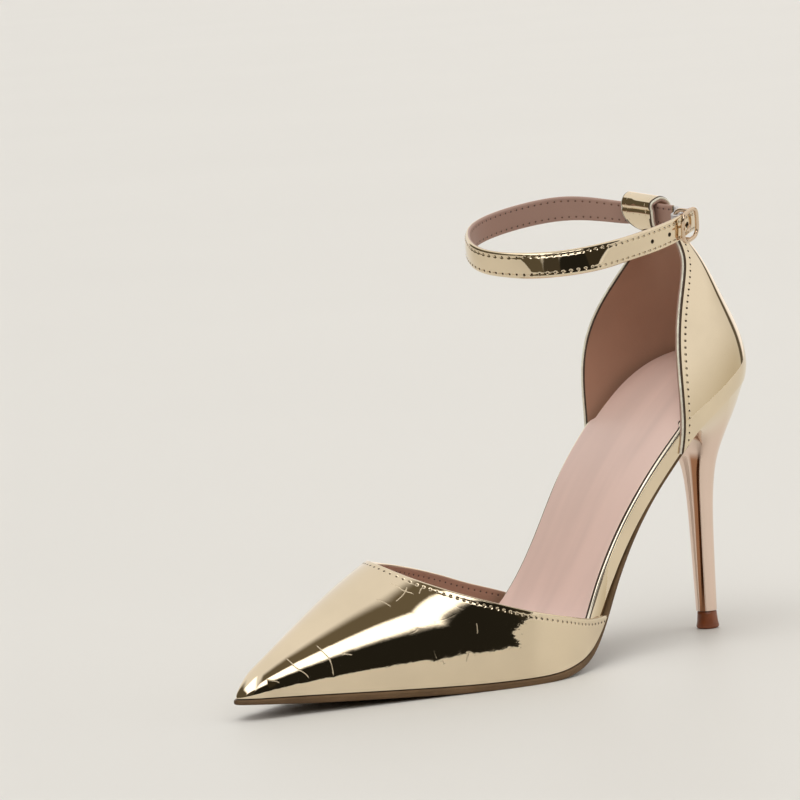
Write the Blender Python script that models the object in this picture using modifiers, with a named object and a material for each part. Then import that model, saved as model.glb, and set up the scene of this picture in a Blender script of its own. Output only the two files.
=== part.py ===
"""Pointed stiletto pump with an ankle strap, for the left foot.

The shoe stands on its heel tip and its forefoot, with the toe along +X and the outer side along +Y.
Sizes are millimetres, measured from the middle of the heel tip on the floor. One empty carries every
piece and puts the middle of the shoe's box over the world origin.
"""
import math

import bmesh
import bpy
import numpy as np
from mathutils import Matrix, Vector

MM = 0.001
GAP = 0.3

# Sole
TOE_X = 216.6
TOE_ROUND = 9.0
SEAT_BACK = -17.4
SEAT_FRONT = 28.8
SEAT_SQUARENESS = 0.65
BOARD_THICK_SEAT = 9.0
BOARD_THICK_WAIST = 5.4
BOARD_THICK_FOREFOOT = 2.2
OUTSOLE_THICK_WAIST = 1.3
OUTSOLE_THICK_FOREFOOT = 2.4
OUTSOLE_OVERHANG = 0.7
OUTSOLE_WAIST_INSET = 0.8
OUTSOLE_BACK = 28.6
OUTSOLE_GAP = 0.4
BOARD_TOE = TOE_X - 9.0
SOLE_STATIONS = 61
SOCK_THICK = 1.0
SOCK_INSET = 1.3

# Stretches along the shoe where one form passes into the next: start, end
SEAT_TO_WAIST = (6, 38)
WAIST_TO_FOREFOOT = (72, 100)
SEAT_LEAN = (18, 40)
BEND_END = (100, 130)
COUNTER_END = (33, 40)
VAMP_START = (58, 68)

# Upper
VAMP_WALL = 1.6
COUNTER_WALL = 1.5
VAMP_SECTION_POWER = 0.8
TUNNEL_HALF_WIDTH = 7.3
TUNNEL_SKEW = 0.10
TUNNEL_TILT = 0.12

# Heel
TIP_HEIGHT = 6.2
TIP_TOP_RADIUS = 3.5
TIP_BASE_RADIUS = 4.1

# Ankle strap and buckle
STRAP_THICK = 2.0
STRAP_CENTRE = Vector((18.0, 0.0, 153.3))
STRAP_FALL_FORWARD = 0.15
STRAP_FALL_OUTWARD = 0.17
ELASTIC_WIDTH = 7.6
ELASTIC_THICK = 0.9
BUCKLE_LENGTH = 12.0
BUCKLE_HEIGHT = 12.0
BUCKLE_WIRE = 0.85
BAR_WIRE = 0.7
BAR_CORNER = 0.4
PRONG_WIRE = 0.6
PRONG_HOLE = 1.1
PRONG_SLOT = 2.4

# Middle line of the insole board's upper face: place along the shoe, height
BED_LINE = (
    (-17, 100.0),
    (-8, 98.4),
    (2, 95.0),
    (12, 89.8),
    (23, 82.0),
    (34, 72.4),
    (46, 60.3),
    (58, 45.0),
    (70, 28.2),
    (79, 17.0),
    (88, 9.6),
    (97, 6.2),
    (108, 4.9),
    (124, 4.8),
    (140, 5.2),
    (160, 6.3),
    (180, 7.6),
    (198, 8.8),
    (218, 10.0),
)

# Half widths of the lasted edge: place along the shoe, outer side, inner side
EDGE_LINE = (
    (-20, 25.2, 25.2),
    (10, 25.4, 25.4),
    (34, 24.7, 24.7),
    (46, 23.5, 23.5),
    (58, 22.6, 22.6),
    (70, 24.4, 23.8),
    (82, 29.6, 27.8),
    (94, 35.2, 32.6),
    (106, 38.0, 36.2),
    (118, 37.0, 37.2),
    (130, 33.6, 35.0),
    (145, 28.2, 30.2),
    (160, 22.8, 24.4),
    (175, 17.4, 18.4),
    (190, 12.0, 12.4),
    (203, 7.6, 7.6),
    (218, 3.6, 3.6),
)

# Ridge of the vamp, and behind its throat the instep that the sides point at: place, height
RIDGE_LINE = (
    (70, 70.0),
    (100, 62.0),
    (125, 54.6),
    (150, 46.0),
    (165, 39.8),
    (184, 30.2),
    (200, 21.4),
    (218, 11.0),
)

# Top edge of the vamp: degrees over the section from the outer feather to the inner one, place
VAMP_TOPLINE = (
    (0, 72.5),
    (3, 78.0),
    (7, 86.0),
    (12, 98.0),
    (18, 113.0),
    (26, 127.0),
    (36, 138.3),
    (47, 146.0),
    (58, 150.6),
    (75, 153.6),
    (90, 153.3),
    (105, 150.2),
    (122, 142.6),
    (134, 132.8),
    (144, 120.0),
    (154, 104.0),
    (162, 91.5),
    (169, 81.5),
    (180, 70.0),
)

# Counter from the seat to the strap tunnel: rise at the back over the seat's lower edge, share of
# the seat's slope that the row follows, back, front edge, half width
COUNTER_ROWS = (
    (0.0, 1.00, -17.4, 28.8, 25.2),
    (5.6, 0.86, -18.4, 29.0, 26.2),
    (13.6, 0.60, -16.8, 29.2, 26.8),
    (21.6, 0.34, -13.2, 27.8, 25.4),
    (29.6, 0.14, -8.7, 23.4, 22.0),
    (37.6, 0.04, -4.2, 17.8, 18.1),
    (44.6, 0.00, 0.4, 13.8, 14.4),
    (50.6, 0.00, 4.6, 12.4, 10.4),
    (55.0, 0.00, 8.0, 12.2, 7.6),
)

# Fold of the counter's tab over the strap, side view: place, height
TUNNEL_FOLD = (
    (10.6, 149.6),
    (12.0, 153.4),
    (14.6, 156.8),
    (18.2, 158.4),
    (21.8, 156.4),
    (22.9, 152.4),
    (22.2, 148.6),
    (20.2, 146.0),
    (17.8, 144.8),
)

# Heel from its tip to the seat: share of its height on the axis, share of the seat's slope, back,
# widest place, front, half width, squareness of the front half
HEEL_ROWS = (
    (0.000, 0.00, -3.6, 0.0, 3.6, 3.6, 2.0),
    (0.230, 0.00, -3.9, -0.1, 3.7, 3.8, 2.0),
    (0.430, 0.00, -4.4, -0.2, 3.8, 4.1, 2.0),
    (0.570, 0.06, -5.4, -0.4, 4.1, 4.8, 2.1),
    (0.670, 0.18, -6.8, -0.6, 4.7, 6.4, 2.3),
    (0.755, 0.40, -8.6, -0.4, 6.6, 9.8, 2.7),
    (0.840, 0.66, -11.2, 0.8, 11.4, 14.4, 3.3),
    (0.920, 0.88, -14.2, 3.0, 17.8, 19.4, 4.2),
    (1.000, 1.00, -16.8, 5.0, 24.4, 23.2, 5.0),
)

# Ankle strap from its tail through the buckle, round the front and the tunnel to the short end:
# place and side in plan, drop below the strap's plane, width
STRAP_PATH = (
    (12.6, 12.4, 3.0, 4.0),
    (13.6, 18.0, 2.0, 8.6),
    (16.8, 22.8, 0.3, 8.4),
    (22.4, 26.0, -0.6, 8.4),
    (30.0, 28.0, -0.3, 8.8),
    (41.0, 29.0, 0.0, 9.0),
    (53.0, 29.0, 0.0, 9.0),
    (66.0, 27.6, 0.0, 9.0),
    (79.0, 22.6, 0.0, 9.0),
    (89.5, 13.0, 0.0, 9.0),
    (94.2, 0.0, 0.0, 9.0),
    (90.0, -13.2, 0.0, 9.0),
    (79.0, -24.8, 0.0, 9.0),
    (65.0, -29.4, 0.0, 9.0),
    (50.0, -28.8, 0.0, 9.0),
    (37.0, -24.0, 0.0, 9.0),
    (27.6, -16.0, 1.0, 8.6),
    (20.0, -7.6, 2.6, 8.2),
    (18.0, 0.0, 1.6, 8.2),
    (17.6, 7.4, 1.1, 8.2),
    (17.0, 13.6, 0.8, 8.4),
)
BUCKLE_PLACE = 3.3


def spline(rows, column):
    """Return a natural cubic spline of one column of a table over its first column."""
    knots = np.array([row[0] for row in rows], float)
    values = np.array([row[column] for row in rows], float)
    steps = np.diff(knots)
    system = np.eye(len(knots))
    right = np.zeros(len(knots))
    for i in range(1, len(knots) - 1):
        system[i, i - 1:i + 2] = steps[i - 1], 2 * (steps[i - 1] + steps[i]), steps[i]
        right[i] = 6 * ((values[i + 1] - values[i]) / steps[i] - (values[i] - values[i - 1]) / steps[i - 1])
    bend = np.linalg.solve(system, right)

    def value(at):
        i = min(max(int(np.searchsorted(knots, at)) - 1, 0), len(steps) - 1)
        left, past = knots[i + 1] - at, at - knots[i]
        step = steps[i]
        cubic = (bend[i] * left**3 + bend[i + 1] * past**3) / (6 * step)
        linear = (values[i] / step - bend[i] * step / 6) * left
        return float(cubic + linear + (values[i + 1] / step - bend[i + 1] * step / 6) * past)

    return value


def counted(rows):
    """Put each row's number in front of it, so that a spline can run along the rows."""
    return [(i,) + tuple(row) for i, row in enumerate(rows)]


def smoothstep(low, high, x):
    """Return 0 below low, 1 above high and a smooth rise between them."""
    t = min(max((x - low) / (high - low), 0.0), 1.0)
    return t * t * (3 - 2 * t)


bed_height = spline(BED_LINE, 1)
edge_splines = {1: spline(EDGE_LINE, 1), -1: spline(EDGE_LINE, 2)}
ridge_height = spline(RIDGE_LINE, 1)
topline_place = spline(VAMP_TOPLINE, 1)


def half_width(x, side):
    """Return the lasted edge's distance from the middle line, rounded off at seat and toe."""
    from_front = min(max((SEAT_FRONT - x) / (SEAT_FRONT - SEAT_BACK), 0.0), 1.0)
    seat = math.sqrt(max(1 - from_front ** (2 / SEAT_SQUARENESS), 0.0))
    past_round = min(max((x - TOE_X + TOE_ROUND) / TOE_ROUND, 0.0), 1.0)
    toe = math.sqrt(1 - past_round**2)
    return edge_splines[side](x) * seat * toe


def edge_point(x, side, inset):
    """Return the lasted edge's point in plan, moved inwards square to the edge."""
    step = 0.02
    slope = (half_width(x + step, side) - half_width(x - step, side)) / (2 * step)
    norm = math.hypot(1, slope)
    return x + inset * slope / norm, side * (half_width(x, side) - inset / norm)


def below_bed(x, depth):
    """Return place and height of a point under the bed line: straight down at the seat, else square to it."""
    slope = bed_height(x + 0.5) - bed_height(x - 0.5)
    norm = math.hypot(1, slope)
    lean = smoothstep(*SEAT_LEAN, x)
    return x + lean * depth * slope / norm, bed_height(x) - depth * (1 + lean * (1 / norm - 1))


def forefoot_share(x):
    """Return how far the sole has changed from its waist to its thinner forefoot."""
    return smoothstep(*WAIST_TO_FOREFOOT, x)


def board_thick(x):
    """Return the insole board's thickness, greatest at the seat."""
    seat = (BOARD_THICK_SEAT - BOARD_THICK_WAIST) * (1 - smoothstep(*SEAT_TO_WAIST, x))
    return BOARD_THICK_WAIST + seat + (BOARD_THICK_FOREFOOT - BOARD_THICK_WAIST) * forefoot_share(x)


def outsole_thick(x):
    """Return the outsole's thickness."""
    return OUTSOLE_THICK_WAIST + (OUTSOLE_THICK_FOREFOOT - OUTSOLE_THICK_WAIST) * forefoot_share(x)


# Lower edge of the insole board: its place and height, and the place on the bed line over it
FEATHER = np.array([(*below_bed(x, board_thick(x)), x) for x in np.linspace(-26, 226, 505)])


def feather_height(x):
    """Return the height of the insole board's lower face, where the upper ends."""
    return float(np.interp(x, FEATHER[:, 0], FEATHER[:, 1]))


def feather_width(x, side):
    """Return the half width of the upper at its lower edge, which follows the board round its bend."""
    above = float(np.interp(x, FEATHER[:, 0], FEATHER[:, 2]))
    return half_width(x + (above - x) * (1 - smoothstep(*BEND_END, x)), side)


def finish(name, colour, roughness, metallic):
    """Return a material with one colour and gloss."""
    material = bpy.data.materials.new(name)
    material.use_nodes = True
    shader = material.node_tree.nodes["Principled BSDF"]
    shader.inputs["Base Color"].default_value = (*colour, 1.0)
    shader.inputs["Roughness"].default_value = roughness
    shader.inputs["Metallic"].default_value = metallic
    return material


def add_mesh(name, bm, material):
    """Turn a bmesh in millimetres into a smooth named object in metres."""
    bmesh.ops.scale(bm, vec=(MM, MM, MM), verts=bm.verts)
    mesh = bpy.data.meshes.new(name)
    bm.to_mesh(mesh)
    bm.free()
    mesh.materials.append(material)
    mesh.shade_smooth()
    mesh.set_sharp_from_angle(angle=math.radians(40))
    return bpy.data.objects.new(name, mesh)


def loft(rings):
    """Return a closed bmesh through rings of equal size, with a face over each end."""
    bm = bmesh.new()
    loops = [[bm.verts.new(point) for point in ring] for ring in rings]
    count = len(loops[0])
    for low, high in zip(loops, loops[1:]):
        for i in range(count):
            j = (i + 1) % count
            bm.faces.new((low[i], low[j], high[j], high[i]))
    bm.faces.new(loops[0][::-1])
    bm.faces.new(loops[-1])
    if bm.calc_volume(signed=True) < 0:
        bmesh.ops.reverse_faces(bm, faces=bm.faces)
    return bm


def sheet(rows):
    """Return an open bmesh over a grid of points, with rows that meet in one point merged."""
    bm = bmesh.new()
    grid = [[bm.verts.new(point) for point in row] for row in rows]
    for low, high in zip(grid, grid[1:]):
        for i in range(len(low) - 1):
            bm.faces.new((low[i], high[i], high[i + 1], low[i + 1]))
    bmesh.ops.remove_doubles(bm, verts=bm.verts, dist=0.001)
    return bm


def add_wall(shape, thickness):
    """Give an open surface a wall that grows inwards from it."""
    wall = shape.modifiers.new("wall", "SOLIDIFY")
    wall.thickness = thickness * MM
    wall.offset = -1


def sole_stations(first, last, count):
    """Return places along the shoe, closer together towards both ends."""
    return [first + (last - first) * (1 - math.cos(math.pi * i / (count - 1))) / 2 for i in range(count)]


def bent_plate(stations, inset, upper, lower):
    """Return a closed plate under the bed line between two depths, with its edge at an inset."""
    rings = []
    for x in stations:
        ring = []
        for depth, sides in ((upper(x), (1, -1)), (lower(x), (-1, 1))):
            for side in sides:
                place, across = edge_point(x, side, inset(x))
                along, height = below_bed(place, depth)
                ring.append((along, across, max(height, 0.0)))
        rings.append(ring)
    return loft(rings)


def covered_inset(x):
    """Return how far the insole board's edge stays inside the upper's outer face."""
    under_counter = (COUNTER_WALL + 2 * GAP) * (1 - smoothstep(*COUNTER_END, x))
    under_vamp = (VAMP_WALL + 2 * GAP) * smoothstep(*VAMP_START, x)
    return under_counter + under_vamp


def make_insole_board(material):
    """Insole board: the stiff bed from heel to toe, its side showing at the waist."""
    stations = sole_stations(SEAT_BACK + 0.2, BOARD_TOE, SOLE_STATIONS)
    return add_mesh("insole_board", bent_plate(stations, covered_inset, lambda x: 0.0, board_thick), material)


def make_insole_sock(material):
    """Insole sock: the thin lining that the foot stands on."""
    stations = sole_stations(SEAT_BACK + 0.2, BOARD_TOE, SOLE_STATIONS)

    def inset(x):
        return covered_inset(x) + SOCK_INSET

    plate = bent_plate(stations, inset, lambda x: -GAP - SOCK_THICK, lambda x: -GAP)
    return add_mesh("insole_sock", plate, material)


def make_outsole(material):
    """Outsole: thin sheet from the heel's breast to the toe, trimmed flat where it meets the floor."""
    stations = sole_stations(OUTSOLE_BACK, TOE_X - 0.2, SOLE_STATIONS)

    def inset(x):
        share = forefoot_share(x)
        return OUTSOLE_WAIST_INSET * (1 - share) - OUTSOLE_OVERHANG * share

    def upper(x):
        return board_thick(x) + OUTSOLE_GAP

    def lower(x):
        return board_thick(x) + OUTSOLE_GAP + outsole_thick(x)

    return add_mesh("outsole", bent_plate(stations, inset, upper, lower), material)


def vamp_point(x, angle):
    """Return the vamp's outer face at a place and an angle over its section."""
    side = 1 if angle <= math.pi / 2 else -1
    low = feather_height(x)
    past_round = min(max((x - TOE_X + TOE_ROUND) / TOE_ROUND, 0.0), 1.0)
    rise = (ridge_height(x) - low) * math.sqrt(1 - past_round**2)
    across = feather_width(x, side) * math.cos(angle)
    return x, across, low + rise * math.sin(angle) ** VAMP_SECTION_POWER


def make_vamp(material):
    """Vamp: hollow pointed front of the upper, open along its top edge and underneath."""
    rows = []
    across, along = 30, 26
    for i in range(across + 1):
        angle = math.pi * i / across
        top = topline_place(math.degrees(angle))
        row = []
        for k in range(along + 1):
            toward_tip = (1 - k / along) ** 1.4
            row.append(vamp_point(TOE_X - (TOE_X - top) * toward_tip, angle))
        rows.append(row)
    vamp = add_mesh("vamp", sheet(rows), material)
    add_wall(vamp, VAMP_WALL)
    return vamp


def counter_rows():
    """Return the counter's outer face from the seat up to the tab, one row of points for each height."""
    table = counted(COUNTER_ROWS)
    rise, follow, back, front, half = (spline(table, column) for column in range(1, 6))
    lowest = feather_height(SEAT_BACK)
    rows = []
    steps, across = 16, 28
    for k in range(steps + 1):
        at = (len(table) - 1) * k / steps
        row = []
        for i in range(across + 1):
            angle = math.pi * (i / across - 0.5)
            x = front(at) - (front(at) - back(at)) * math.cos(angle) ** SEAT_SQUARENESS
            slope = feather_height(x) - feather_height(back(at))
            row.append((x, half(at) * math.sin(angle), lowest + rise(at) + follow(at) * slope))
        rows.append(row)
    return rows


def tunnel_rows(across):
    """Return the tab's outer face, folded forwards over the strap and down inside it."""
    table = counted(TUNNEL_FOLD)
    place, height = spline(table, 1), spline(table, 2)
    rows = []
    steps = 16
    for k in range(steps + 1):
        at = (len(table) - 1) * k / steps
        bow = 1.2 * (1 - smoothstep(0, 2, at))
        narrow = 1 - 0.5 * smoothstep(5.4, 8.0, at)
        tilt = TUNNEL_TILT * smoothstep(-1, 3, at)
        skew = TUNNEL_SKEW * smoothstep(-1, 3, at)
        row = []
        for i in range(across):
            share = 2 * i / (across - 1) - 1
            y = TUNNEL_HALF_WIDTH * narrow * share
            row.append((place(at) + bow * share**2 - skew * y, y, height(at) - tilt * y))
        rows.append(row)
    return rows


def make_counter(material):
    """Counter: hollow cup behind the foot, rising to a tab that is folded into the strap's tunnel."""
    cup = counter_rows()
    counter = add_mesh("counter", sheet(cup + tunnel_rows(len(cup[0]))), material)
    add_wall(counter, COUNTER_WALL)
    return counter


def make_heel(material):
    """Heel: slim stem that flares to the seat and ends under it in a flat breast."""
    table = counted(HEEL_ROWS)
    share, follow, back, widest, front, half, square = (spline(table, column) for column in range(1, 8))
    bottom, top = TIP_HEIGHT + GAP, feather_height(0.0) - GAP
    rings = []
    steps, sides = 22, 28
    for k in range(steps + 1):
        at = (len(table) - 1) * k / steps
        ring = []
        for i in range(sides):
            angle = 2 * math.pi * i / sides
            turn, lift = math.cos(angle), math.sin(angle)
            power = 2 / (square(at) if turn > 0 else 2.0)
            reach = front(at) - widest(at) if turn > 0 else widest(at) - back(at)
            x = widest(at) + math.copysign(abs(turn) ** power, turn) * reach
            y = math.copysign(abs(lift) ** power, lift) * half(at)
            slope = feather_height(x) - feather_height(0.0)
            ring.append((x, y, bottom + (top - bottom) * share(at) + follow(at) * slope))
        rings.append(ring)
    return add_mesh("heel", loft(rings), material)


def make_heel_tip(material):
    """Heel tip: the small lift that stands on the floor."""
    bm = bmesh.new()
    bmesh.ops.create_cone(
        bm, cap_ends=True, segments=28, radius1=TIP_BASE_RADIUS, radius2=TIP_TOP_RADIUS, depth=TIP_HEIGHT,
        matrix=Matrix.Translation((0, 0, TIP_HEIGHT / 2)))
    return add_mesh("heel_tip", bm, material)


STRAP_UP = Vector((STRAP_FALL_FORWARD, STRAP_FALL_OUTWARD, 1.0)).normalized()
strap_place = spline(counted(STRAP_PATH), 1)
strap_side = spline(counted(STRAP_PATH), 2)
strap_drop = spline(counted(STRAP_PATH), 3)
strap_width = spline(counted(STRAP_PATH), 4)


def strap_plane(x, y):
    """Return the point of the strap's sloping plane over a place in plan."""
    fall = STRAP_FALL_FORWARD * (x - STRAP_CENTRE.x) + STRAP_FALL_OUTWARD * (y - STRAP_CENTRE.y)
    return Vector((x, y, STRAP_CENTRE.z - fall))


def strap_point(at):
    """Return the strap's middle line at a place counted along the rows of its path."""
    return strap_plane(strap_place(at), strap_side(at)) - STRAP_UP * strap_drop(at)


def strap_frame(at):
    """Return the strap's middle point, its direction and its outward direction there."""
    along = (strap_point(at + 0.02) - strap_point(at - 0.02)).normalized()
    return strap_point(at), along, STRAP_UP.cross(along).normalized()


def ribbon(points, outwards, widths, thickness):
    """Return a flat band along a line of points, with its width along the strap's own up direction."""
    rings = []
    for point, outward, width in zip(points, outwards, widths):
        up, out = STRAP_UP * width / 2, outward * thickness / 2
        rings.append((point + up + out, point - up + out, point - up - out, point + up - out))
    return loft(rings)


def band_normals(points):
    """Return the outward directions of a band that follows a line of points."""
    normals = []
    for i in range(len(points)):
        along = points[min(i + 1, len(points) - 1)] - points[max(i - 1, 0)]
        normals.append(STRAP_UP.cross(along).normalized())
    return normals


def add_tube(name, points, radius, cyclic, material):
    """Return a round wire through points, as a closed mesh in metres."""
    curve = bpy.data.curves.new(name, "CURVE")
    curve.dimensions = "3D"
    curve.bevel_depth = radius * MM
    curve.bevel_resolution = 2
    curve.use_fill_caps = True
    line = curve.splines.new("POLY")
    line.points.add(len(points) - 1)
    for spot, point in zip(line.points, points):
        spot.co = (*(point * MM), 1.0)
    line.use_cyclic_u = cyclic
    wire = bpy.data.objects.new(name + "_wire", curve)
    bpy.context.scene.collection.objects.link(wire)
    bpy.context.view_layer.update()
    mesh = bpy.data.meshes.new_from_object(wire.evaluated_get(bpy.context.evaluated_depsgraph_get()))
    bpy.data.objects.remove(wire)
    bm = bmesh.new()
    bm.from_mesh(mesh)
    bmesh.ops.remove_doubles(bm, verts=bm.verts, dist=1e-6)
    bmesh.ops.recalc_face_normals(bm, faces=bm.faces)
    bm.to_mesh(mesh)
    bm.free()
    mesh.name = name
    mesh.materials.clear()
    mesh.materials.append(material)
    mesh.shade_smooth()
    return bpy.data.objects.new(name, mesh)


def combine(shape, tool, operation, cutters):
    """Cut a shape by a tool, or join the tool to it, with a modifier; the tool stays as a hidden guide."""
    change = shape.modifiers.new(tool.name, "BOOLEAN")
    change.operation = operation
    change.object = tool
    tool.hide_render = True
    tool.display_type = "WIRE"
    cutters.append(tool)


def buckle_axes():
    """Return the strap's point under the buckle, with its direction and its outward direction."""
    return strap_frame(BUCKLE_PLACE)


def bar_centre():
    """Return the middle of the buckle's bar, which lies inside the strap."""
    point, _, outward = buckle_axes()
    return point - outward * (STRAP_THICK / 2 + GAP + ELASTIC_THICK + GAP + BAR_WIRE)


def make_ankle_strap(material, cutters):
    """Ankle strap: one band from its pointed tail round the ankle and through the tunnel."""
    last = len(STRAP_PATH) - 1
    count = 72
    places = [last * i / count for i in range(count + 1)]
    frames = [strap_frame(at) for at in places]
    widths = [strap_width(at) for at in places]
    bm = ribbon([frame[0] for frame in frames], [frame[2] for frame in frames], widths, STRAP_THICK)
    strap = add_mesh("ankle_strap", bm, material)
    point, _, outward = buckle_axes()
    hole = bmesh.new()
    bmesh.ops.create_cone(
        hole, cap_ends=True, segments=12, radius1=PRONG_HOLE, radius2=PRONG_HOLE, depth=3 * STRAP_THICK,
        matrix=Matrix.Translation(point) @ outward.to_track_quat("Z", "Y").to_matrix().to_4x4())
    combine(strap, add_mesh("prong_hole", hole, material), "DIFFERENCE", cutters)
    return strap


def make_buckle_elastic(material, cutters):
    """Elastic: short band from the strap's short end to the buckle's bar, which it goes round."""
    end, leaving, _ = strap_frame(len(STRAP_PATH) - 1)
    start = end + leaving * GAP
    centre = bar_centre()
    _, along, outward = buckle_axes()
    turn = BAR_WIRE + GAP + ELASTIC_THICK / 2
    approach = centre - along * 3.0 - outward * turn
    points = [start, start + leaving * 1.5]
    points += [points[-1].lerp(approach, share) for share in (0.3, 0.6, 1.0)]
    for step in range(9):
        angle = math.pi * step / 8
        points.append(centre + (along * math.sin(angle) - outward * math.cos(angle)) * turn)
    points.append(points[-1] - along * 2.0)
    bm = ribbon(points, band_normals(points), [ELASTIC_WIDTH] * len(points), ELASTIC_THICK)
    elastic = add_mesh("buckle_elastic", bm, material)
    slot = bmesh.new()
    turned = Matrix((along, STRAP_UP, outward)).transposed().to_quaternion()
    bmesh.ops.create_cube(slot, size=1.0, matrix=Matrix.LocRotScale(
        centre + along * 0.6, turned, (PRONG_SLOT * 1.5, PRONG_SLOT, 8.0)))
    combine(elastic, add_mesh("prong_slot", slot, material), "DIFFERENCE", cutters)
    return elastic


def make_buckle_frame(material, cutters):
    """Buckle frame: rounded rectangle of wire outside the strap, joined by a bar inside it."""
    point, along, outward = buckle_axes()
    middle = point + outward * (STRAP_THICK / 2 + GAP + BUCKLE_WIRE)
    half_long = BUCKLE_LENGTH / 2 - BUCKLE_WIRE
    half_high = BUCKLE_HEIGHT / 2 - BUCKLE_WIRE
    ring = []
    for i in range(32):
        angle = 2 * math.pi * i / 32
        turn, rise = math.cos(angle), math.sin(angle)
        ring.append(middle + along * half_long * math.copysign(abs(turn) ** 0.6, turn)
                    + STRAP_UP * half_high * math.copysign(abs(rise) ** 0.6, rise))
    frame = add_tube("buckle_frame", ring, BUCKLE_WIRE, True, material)
    deep = bar_centre()
    beside = strap_width(BUCKLE_PLACE) / 2 + GAP + BAR_WIRE
    bar = []
    for end in (-1, 1):
        half = [
            middle + STRAP_UP * end * half_high,
            point + STRAP_UP * end * beside,
            deep + STRAP_UP * end * (beside - BAR_CORNER) + outward * 2 * BAR_CORNER,
            deep + STRAP_UP * end * (beside - 3 * BAR_CORNER),
        ]
        bar += half if end < 0 else half[::-1]
    combine(frame, add_tube("buckle_bar", bar, BAR_WIRE, False, material), "UNION", cutters)
    return frame


def make_buckle_prong(material):
    """Prong: from the bar through the strap's hole to the front of the frame."""
    point, along, outward = buckle_axes()
    root = (bar_centre() - point).dot(outward) + BAR_WIRE + GAP + PRONG_WIRE
    skim = STRAP_THICK / 2 + GAP + PRONG_WIRE
    over_frame = STRAP_THICK / 2 + GAP + 2 * BUCKLE_WIRE + GAP + PRONG_WIRE
    front = BUCKLE_LENGTH / 2
    steps = (
        (0.0, root),
        (0.0, skim - 0.9),
        (0.5, skim + 0.1),
        (1.6, skim + 0.6),
        (front - 2 * BUCKLE_WIRE - 1.0, over_frame - 0.2),
        (front - BUCKLE_WIRE, over_frame + 0.2),
        (front, over_frame + 0.1),
    )
    points = [point + along * forward + outward * out for forward, out in steps]
    return add_tube("buckle_prong", points, PRONG_WIRE, False, material)


def main():
    for old in list(bpy.data.objects):
        bpy.data.objects.remove(old)

    gold = finish("pale_gold_mirror_leather", (0.80, 0.68, 0.46), 0.12, 1.0)
    lining = finish("pink_lining", (0.62, 0.42, 0.36), 0.55, 0.0)
    outsole = finish("taupe_outsole", (0.16, 0.11, 0.06), 0.45, 0.0)
    plated = finish("rose_gold_plate", (0.84, 0.62, 0.50), 0.12, 1.0)
    lift = finish("brown_heel_lift", (0.20, 0.06, 0.02), 0.40, 0.0)
    elastic = finish("white_elastic", (0.80, 0.78, 0.78), 0.80, 0.0)

    cutters = []
    pieces = [
        make_outsole(outsole),
        make_insole_board(gold),
        make_insole_sock(lining),
        make_vamp(gold),
        make_counter(gold),
        make_heel(plated),
        make_heel_tip(lift),
        make_ankle_strap(gold, cutters),
        make_buckle_elastic(elastic, cutters),
        make_buckle_frame(plated, cutters),
        make_buckle_prong(plated),
    ]

    shoe = bpy.data.collections.new("stiletto_pump")
    guides = bpy.data.collections.new("stiletto_pump_guides")
    bpy.context.scene.collection.children.link(shoe)
    bpy.context.scene.collection.children.link(guides)
    origin = bpy.data.objects.new("heel_axis", None)
    shoe.objects.link(origin)
    for piece in pieces:
        shoe.objects.link(piece)
        piece.parent = origin
    for tool in cutters:
        guides.objects.link(tool)
        tool.parent = origin
    bpy.context.view_layer.update()
    corners = np.array([corner[:] for piece in pieces for corner in piece.bound_box])
    middle = (corners.min(axis=0) + corners.max(axis=0)) / 2
    origin.location = (-middle[0], -middle[1], 0.0)


main()
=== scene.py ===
"""Looks of a pointed stiletto pump with an ankle strap, laid out as a Blender add-on.

Sizes in the shape tables are millimetres from the middle of the heel tip on the floor, with the toe
along +X and the outer side along +Y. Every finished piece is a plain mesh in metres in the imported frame.
"""
import math

import bmesh
import bpy
import numpy as np
from bpy.props import FloatProperty, FloatVectorProperty, PointerProperty
from mathutils import Matrix, Vector


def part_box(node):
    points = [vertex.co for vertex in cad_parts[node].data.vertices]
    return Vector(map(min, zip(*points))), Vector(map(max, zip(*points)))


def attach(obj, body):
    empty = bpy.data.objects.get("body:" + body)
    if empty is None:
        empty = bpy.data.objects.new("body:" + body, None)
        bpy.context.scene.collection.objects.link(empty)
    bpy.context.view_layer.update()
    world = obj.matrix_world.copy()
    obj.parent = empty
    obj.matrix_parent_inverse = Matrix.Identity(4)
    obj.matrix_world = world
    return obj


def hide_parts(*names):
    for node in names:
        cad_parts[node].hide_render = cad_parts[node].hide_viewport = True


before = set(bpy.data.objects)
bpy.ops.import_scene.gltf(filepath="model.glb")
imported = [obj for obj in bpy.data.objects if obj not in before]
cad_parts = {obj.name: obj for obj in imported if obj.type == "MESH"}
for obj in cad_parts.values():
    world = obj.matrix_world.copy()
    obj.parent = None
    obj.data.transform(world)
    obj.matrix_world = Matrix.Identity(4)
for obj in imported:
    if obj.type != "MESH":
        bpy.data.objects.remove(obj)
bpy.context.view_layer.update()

bl_info = {
    "name": "Stiletto pump looks",
    "version": (1, 0, 0),
    "blender": (4, 5, 0),
    "location": "3D View > Sidebar > Pump",
    "description": "Dresses the packed pump in leather, lining, plating and stitches and sets up its studio",
    "category": "Object",
}

MM = 0.001
TIP_LOW, TIP_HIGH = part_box("heel_tip")
HEEL_AXIS = np.array([(TIP_LOW.x + TIP_HIGH.x) / 2, (TIP_LOW.y + TIP_HIGH.y) / 2, TIP_LOW.z])

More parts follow.
